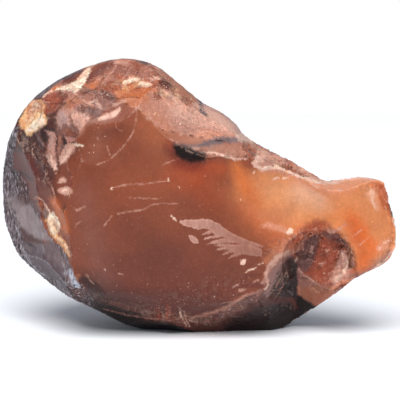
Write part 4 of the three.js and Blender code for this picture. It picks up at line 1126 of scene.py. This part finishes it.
# Dust and pinprick chips
DUSTY = [
    (0.95, 14, [(120, 290, 4), (160, 303, 6), (200, 302, 7), (236, 294, 6), (256, 280, 5)]),
    (0.5, 30, [(110, 270, 8), (160, 285, 12), (220, 278, 12)]),
    (0.4, 20, [(82, 226, 5), (84, 262, 8)]),
    (0.5, 12, [(330, 200, 8), (366, 214, 10), (372, 250, 10)]),
    (0.5, 10, [(262, 226, 5), (300, 226, 5)]),
    (0.7, 12, [(112, 116, 8), (104, 134, 8), (94, 150, 8), (112, 158, 4)]),
    (0.25, 30, [(140, 200, 20), (220, 200, 20), (300, 200, 20)]),
    (0.5, 10, [(172, 108, 5), (190, 116, 10), (222, 128, 8)]),
]
dust = most(DUSTY)

# The dark inclusion under the ledge
INCLUSION_TINTS = [
    ("soot", 0.55, 16, [(166, 150, 3), (182, 157, 9), (196, 161, 8), (208, 161, 3)]),
    ("ink", 0.97, 5, [(174, 146, 1.5), (182, 152, 6.5), (192, 155.5, 6.5), (202, 156, 4.5)]),
]
paint(INCLUSION_TINTS)

# The stone stays just inside the solid's box
INSET = 0.01
lowest, highest = [np.array(corner) / MM - SOLID_ORIGIN for corner in cad_box]
points[:] = np.clip(points, lowest + INSET, highest - INSET)
set_positions()

# What the material reads at each vertex
for name, values in {
    "tone": tone, "rind": rind, "edge": edge, "grain": grain, "flecks": flecks, "loose": loose,
    "hairline": hairline, "pale_chip": pale_chip, "fade": fade, "dust": dust,
}.items():
    if values.ndim == 2:
        values = np.hstack([values, np.ones((len(values), 1))])
        layer = stone.data.attributes.new(name, "FLOAT_COLOR", "POINT")
        layer.data.foreach_set("color", values.astype(np.float32).ravel())
    else:
        layer = stone.data.attributes.new(name, "FLOAT", "POINT")
        layer.data.foreach_set("value", values.astype(np.float32))

# Where its colour and its shape are even the mesh is thinned, and the marks keep their fine mesh
MOST_TRIANGLES = 186000
EVEN_COLOUR = 0.012
EVEN_SHAPE = 0.012
CLEAR = 3  # pixels from a mark
change = np.linalg.norm(np.sqrt(tone) - np.sqrt(neighbours_mean(tone)), axis=1)
plain = (change < EVEN_COLOUR) & (np.abs(curve) < EVEN_SHAPE)
plain &= (loose > CLEAR) & (hairline > CLEAR) & (pale_chip > CLEAR)
thin_out(plain, MOST_TRIANGLES / len(stone.data.polygons))
stone.data.shade_smooth()


class Value:
    """A socket of a material, with arithmetic"""

    def __init__(self, maker, socket):
        self.maker = maker
        self.socket = socket

    def math(self, operation, *values, clamp=False):
        return self.maker.node("ShaderNodeMath", {"operation": operation, "use_clamp": clamp}, *values)

    def __add__(self, other):
        return self.math("ADD", self, other)

    __radd__ = __add__

    def __mul__(self, other):
        return self.math("MULTIPLY", self, other)

    __rmul__ = __mul__

    def __sub__(self, other):
        return self.math("SUBTRACT", self, other)

    def __rsub__(self, other):
        return self.math("SUBTRACT", other, self)

    def clamped(self):
        return self.math("ADD", self, 0, clamp=True)

    def above(self, low, high):
        """0 up to low and 1 from high, with a soft step between"""
        settings = {"interpolation_type": "SMOOTHSTEP"}
        return self.maker.node("ShaderNodeMapRange", settings, self, low, high)


class Maker:
    """Builds the nodes of one material, or of the sky"""

    def __init__(self, owner):
        owner.use_nodes = True
        self.tree = owner.node_tree
        self.tree.nodes.clear()

    def node(self, kind, settings=None, *values, output=0, **named):
        """A node with its settings, then what goes into its sockets, in order or by name"""
        new = self.tree.nodes.new(kind)
        for key, value in (settings or {}).items():
            setattr(new, key, value)
        for key, value in [*enumerate(values), *named.items()]:
            if isinstance(value, Value):
                self.tree.links.new(value.socket, new.inputs[key])
            elif value is not None:
                new.inputs[key].default_value = value
        return Value(self, new.outputs[output]) if new.outputs else None

    def attribute(self, name, output="Fac"):
        return self.node("ShaderNodeAttribute", {"attribute_name": name}, output=output)

    def mix(self, share, first, second):
        """One colour over another"""
        others = [None] * 5  # the node's sockets for other kinds of value
        return self.node("ShaderNodeMix", {"data_type": "RGBA"}, share, *others, first, second, output=2)

    def clouds(self, place, scale, detail=3.0, roughness=0.55):
        """Noise from 0 to 1, with this many swells in a metre"""
        return self.node("ShaderNodeTexNoise", None, place, Scale=scale, Detail=detail, Roughness=roughness)


def shade(name):
    """One of the stone's colours, for a material"""
    return (*linear(name), 1)


material = bpy.data.materials.new("chalcedony")
make = Maker(material)
place = make.node("ShaderNodeTexCoord", output="Object")
tone_here = make.attribute("tone", "Color")
rind_here = make.attribute("rind")
edge_here = make.attribute("edge")
grain_here = make.attribute("grain")
flecks_here = make.attribute("flecks")
dust_here = make.attribute("dust")


def specks(scale, size, share):
    """Small bright spots: one in some of the cells of a scattered pattern"""
    far = make.node("ShaderNodeTexVoronoi", None, place, Scale=scale)
    chosen = make.node("ShaderNodeTexVoronoi", None, place, Scale=scale, output="Color")
    chosen = make.node("ShaderNodeSeparateColor", None, chosen)
    return (1 - far.above(0.6 * size, size)) * chosen.above(1 - share, 1 - 0.8 * share)


def drawn_out(lean, squeeze):
    """Places in which clouds are drawn out into streaks, which lean from upright by some degrees"""
    turn = (0, radians(lean), 0)
    return make.node("ShaderNodeMapping", None, place, Scale=(1.0, 1.0, squeeze), Rotation=turn)


# Fresh stone: its colour drifts in soft clouds; grain, dust, crushed edges, painted glints and painted
# shade in the valleys lie over it
FRESH_RELIEF = 0.35 * MM
FRESH_IOR = 1.54
GLOW = 0.25
GLOW_REACH = 2 * MM
GLOW_COLOUR = (1.0, 0.4, 0.2)
cloud = make.clouds(place, 160)
fine_cloud = make.clouds(place, 900, 4, 0.65)
patchy = make.clouds(place, 520, 4, 0.7)
grit = make.clouds(place, 1700, 4, 0.7)
grain_cloud = make.clouds(place, 5200, 2, 0.6)
colour = make.mix(cloud.above(0.3, 0.75) * 0.18, tone_here, shade("umber"))
colour = make.mix((patchy - 0.45).above(0, 0.15) * flecks_here * 0.3, colour, shade("brown"))
colour = make.mix((0.5 - patchy).above(0, 0.15) * flecks_here * 0.3, colour, shade("shell"))
fibres = make.clouds(drawn_out(35, 0.22), 2400, 3, 0.7)
contrast = 1 + (grit - 0.5) * (0.4 + 1.8 * flecks_here) + (patchy - 0.5) * (0.3 + 1.2 * flecks_here)
contrast = contrast + (grain_cloud - 0.5) * 0.35
contrast = contrast + (fibres - 0.5) * (0.15 + 2.4 * flecks_here + 0.8 * grain_here)
colour = make.node("ShaderNodeVectorMath", {"operation": "SCALE"}, colour, Scale=contrast)
pale_edge = edge_here.above(0.35, 1.0) * fine_cloud.above(0.40, 0.60)
colour = make.mix(pale_edge * (0.2 + 0.4 * flecks_here), colour, shade("shell"))
# Valleys between ridges are darkened: painted shade
crease_shade = (0 - edge_here).above(0.3, 1.0)
colour = make.mix(crease_shade * 0.15, colour, shade("umber"))
grains = specks(3200, 0.36, 0.4) * patchy.above(0.35, 0.6)
colour = make.mix(grains * (0.06 + 0.6 * grain_here + 0.6 * flecks_here).clamped(), colour, shade("shell"))
# Bright cream specks on the grainy slope: painted glints
painted_glints = specks(1100, 0.17, 0.12)
colour = make.mix(painted_glints * (0.02 + 0.7 * grain_here + 0.5 * flecks_here).clamped(), colour, shade("cream"))
pinpricks = specks(1500, 0.22, 0.45) * grit.above(0.35, 0.6)
colour = make.mix((pinpricks * dust_here * 0.85).clamped(), colour, shade("shell"))

# The loose flakes, the hairline cracks and the pale chips
loose_here = make.attribute("loose") + (fine_cloud - 0.5) * 1.4
loose_mask = 1 - loose_here.above(-0.6, 0.6)
loose_rim = loose_here.above(-2.2, -0.3)
# The flakes' paleness, more towards their borders, is partly painted reflection of the light overhead
loose_paleness_and_sheen = loose_rim * 0.25 + (fibres - 0.5) * 1.2 + 0.35
loose_tone = make.mix(loose_paleness_and_sheen, shade("dusky_pink"), shade("pale_pink"))
loose_share = loose_mask * make.attribute("fade") * (0.6 + 0.9 * fine_cloud)
colour = make.mix(loose_share.clamped(), colour, loose_tone)
crack_mask = 1 - make.attribute("hairline").above(-0.4, 0.9)
colour = make.mix(crack_mask * (0.12 + 0.45 * patchy.above(0.35, 0.65)), colour, shade("pale_pink"))
chip_mask = 1 - (make.attribute("pale_chip") + (grit - 0.5) * 5.0).above(-0.8, 0.8)
colour = make.mix((chip_mask * (0.35 + 0.9 * grit)).clamped(), colour, shade("chip"))

relief = cloud * 0.3 + fine_cloud * 0.5 + grain_cloud * (0.1 + 0.4 * grain_here)
relief = relief + (grit + patchy + fibres) * 0.4 * flecks_here
bump = make.node("ShaderNodeBump", None, Strength=0.35, Distance=FRESH_RELIEF, Height=relief)
gloss = 0.24 + 0.16 * fine_cloud + 0.2 * grain_here + 0.15 * loose_mask + 0.3 * flecks_here
fresh = make.node(
    "ShaderNodeBsdfPrincipled", None,
    **{"Base Color": colour, "Roughness": gloss, "Normal": bump, "IOR": FRESH_IOR,
       "Specular IOR Level": 0.16, "Subsurface Weight": GLOW, "Subsurface Radius": GLOW_COLOUR,
       "Subsurface Scale": GLOW_REACH},
)

# The rind: dull grey, finely pitted, with dark streaks that run down it
RIND_RELIEF = 0.4 * MM
RIND_IOR = 1.5
streaks_place = drawn_out(-10, 0.45)
streaks = make.clouds(streaks_place, 2300, 3, 0.7)
long_streaks = make.clouds(streaks_place, 700, 3, 0.6)
mottle = make.clouds(place, 420, 3, 0.6)
rind_colour = make.mix(mottle.above(0.3, 0.7) * 0.35, tone_here, shade("slate"))
rind_colour = make.mix(long_streaks.above(0.45, 0.7) * flecks_here * 0.6, rind_colour, shade("soot"))
rind_colour = make.mix(streaks.above(0.5, 0.6) * flecks_here * 0.9, rind_colour, shade("ink"))
rind_colour = make.mix((1 - streaks).above(0.54, 0.66) * flecks_here * 0.55, rind_colour, shade("pewter"))
rind_colour = make.mix(edge_here.above(0.3, 1) * 0.3, rind_colour, shade("pewter"))
rind_relief = streaks * 0.8 * flecks_here + mottle * 0.3
rind_bump = make.node("ShaderNodeBump", None, Strength=0.5, Distance=RIND_RELIEF, Height=1 - rind_relief)
crust = make.node(
    "ShaderNodeBsdfPrincipled", None,
    **{"Base Color": rind_colour, "Roughness": 0.4 + 0.25 * streaks, "Normal": rind_bump,
       "IOR": RIND_IOR, "Specular IOR Level": 0.3},
)
rind_mask = (rind_here + (fine_cloud - 0.5) * 0.8).above(0.4, 0.6)
surface = make.node("ShaderNodeMixShader", None, rind_mask, fresh, crust)
make.node("ShaderNodeOutputMaterial", None, surface)

stone.data.materials.clear()
stone.data.materials.append(material)
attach(stone, "root")
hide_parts("chalcedony")

# The ground and the light
# A white studio: a sheet of white paper on the ground that falls off into white, one large soft
# lamp overhead, and a pale sky that only the stone and the paper see.
GROUND_HALF = 0.45
PAPER_WHITE = (0.93, 0.94, 0.96, 1)
PAPER_ROUGHNESS = 0.9
SKY = (0.84, 0.90, 1, 1)
SKY_STRENGTH = 0.40
WHITE = (1, 1, 1, 1)
LAMP_AT = (-0.3, -1.8, 3.2)
LAMP_AIM = Vector((0, 0, 0.02))
LAMP_SIZE = 3.2
LAMP_POWER = 163

ground = bmesh.new()
bmesh.ops.create_grid(ground, x_segments=1, y_segments=1, size=GROUND_HALF)
ground_mesh = bpy.data.meshes.new("ground")
ground.to_mesh(ground_mesh)
ground.free()
floor = bpy.data.objects.new("ground", ground_mesh)
bpy.context.scene.collection.objects.link(floor)
paper = bpy.data.materials.new("white paper")
make = Maker(paper)
sheet = make.node(
    "ShaderNodeBsdfPrincipled", None, **{"Base Color": PAPER_WHITE, "Roughness": PAPER_ROUGHNESS}
)
make.node("ShaderNodeOutputMaterial", None, sheet)
floor.data.materials.append(paper)

studio = bpy.data.worlds.new("studio")
bpy.context.scene.world = studio
make = Maker(studio)
sky = make.node("ShaderNodeBackground", None, SKY, SKY_STRENGTH)
backdrop = make.node("ShaderNodeBackground", None, WHITE, 1)
seen_directly = make.node("ShaderNodeLightPath", output="Is Camera Ray")
surroundings = make.node("ShaderNodeMixShader", None, seen_directly, sky, backdrop)
make.node("ShaderNodeOutputWorld", None, surroundings)

light = bpy.data.lights.new("overhead", "AREA")
light.shape = "DISK"
light.size = LAMP_SIZE
light.energy = LAMP_POWER
lamp = bpy.data.objects.new("overhead", light)
bpy.context.scene.collection.objects.link(lamp)
lamp.location = LAMP_AT
lamp.rotation_euler = (LAMP_AIM - lamp.location).to_track_quat("-Z", "Y").to_euler()
bpy.context.scene.view_settings.view_transform = "Standard"
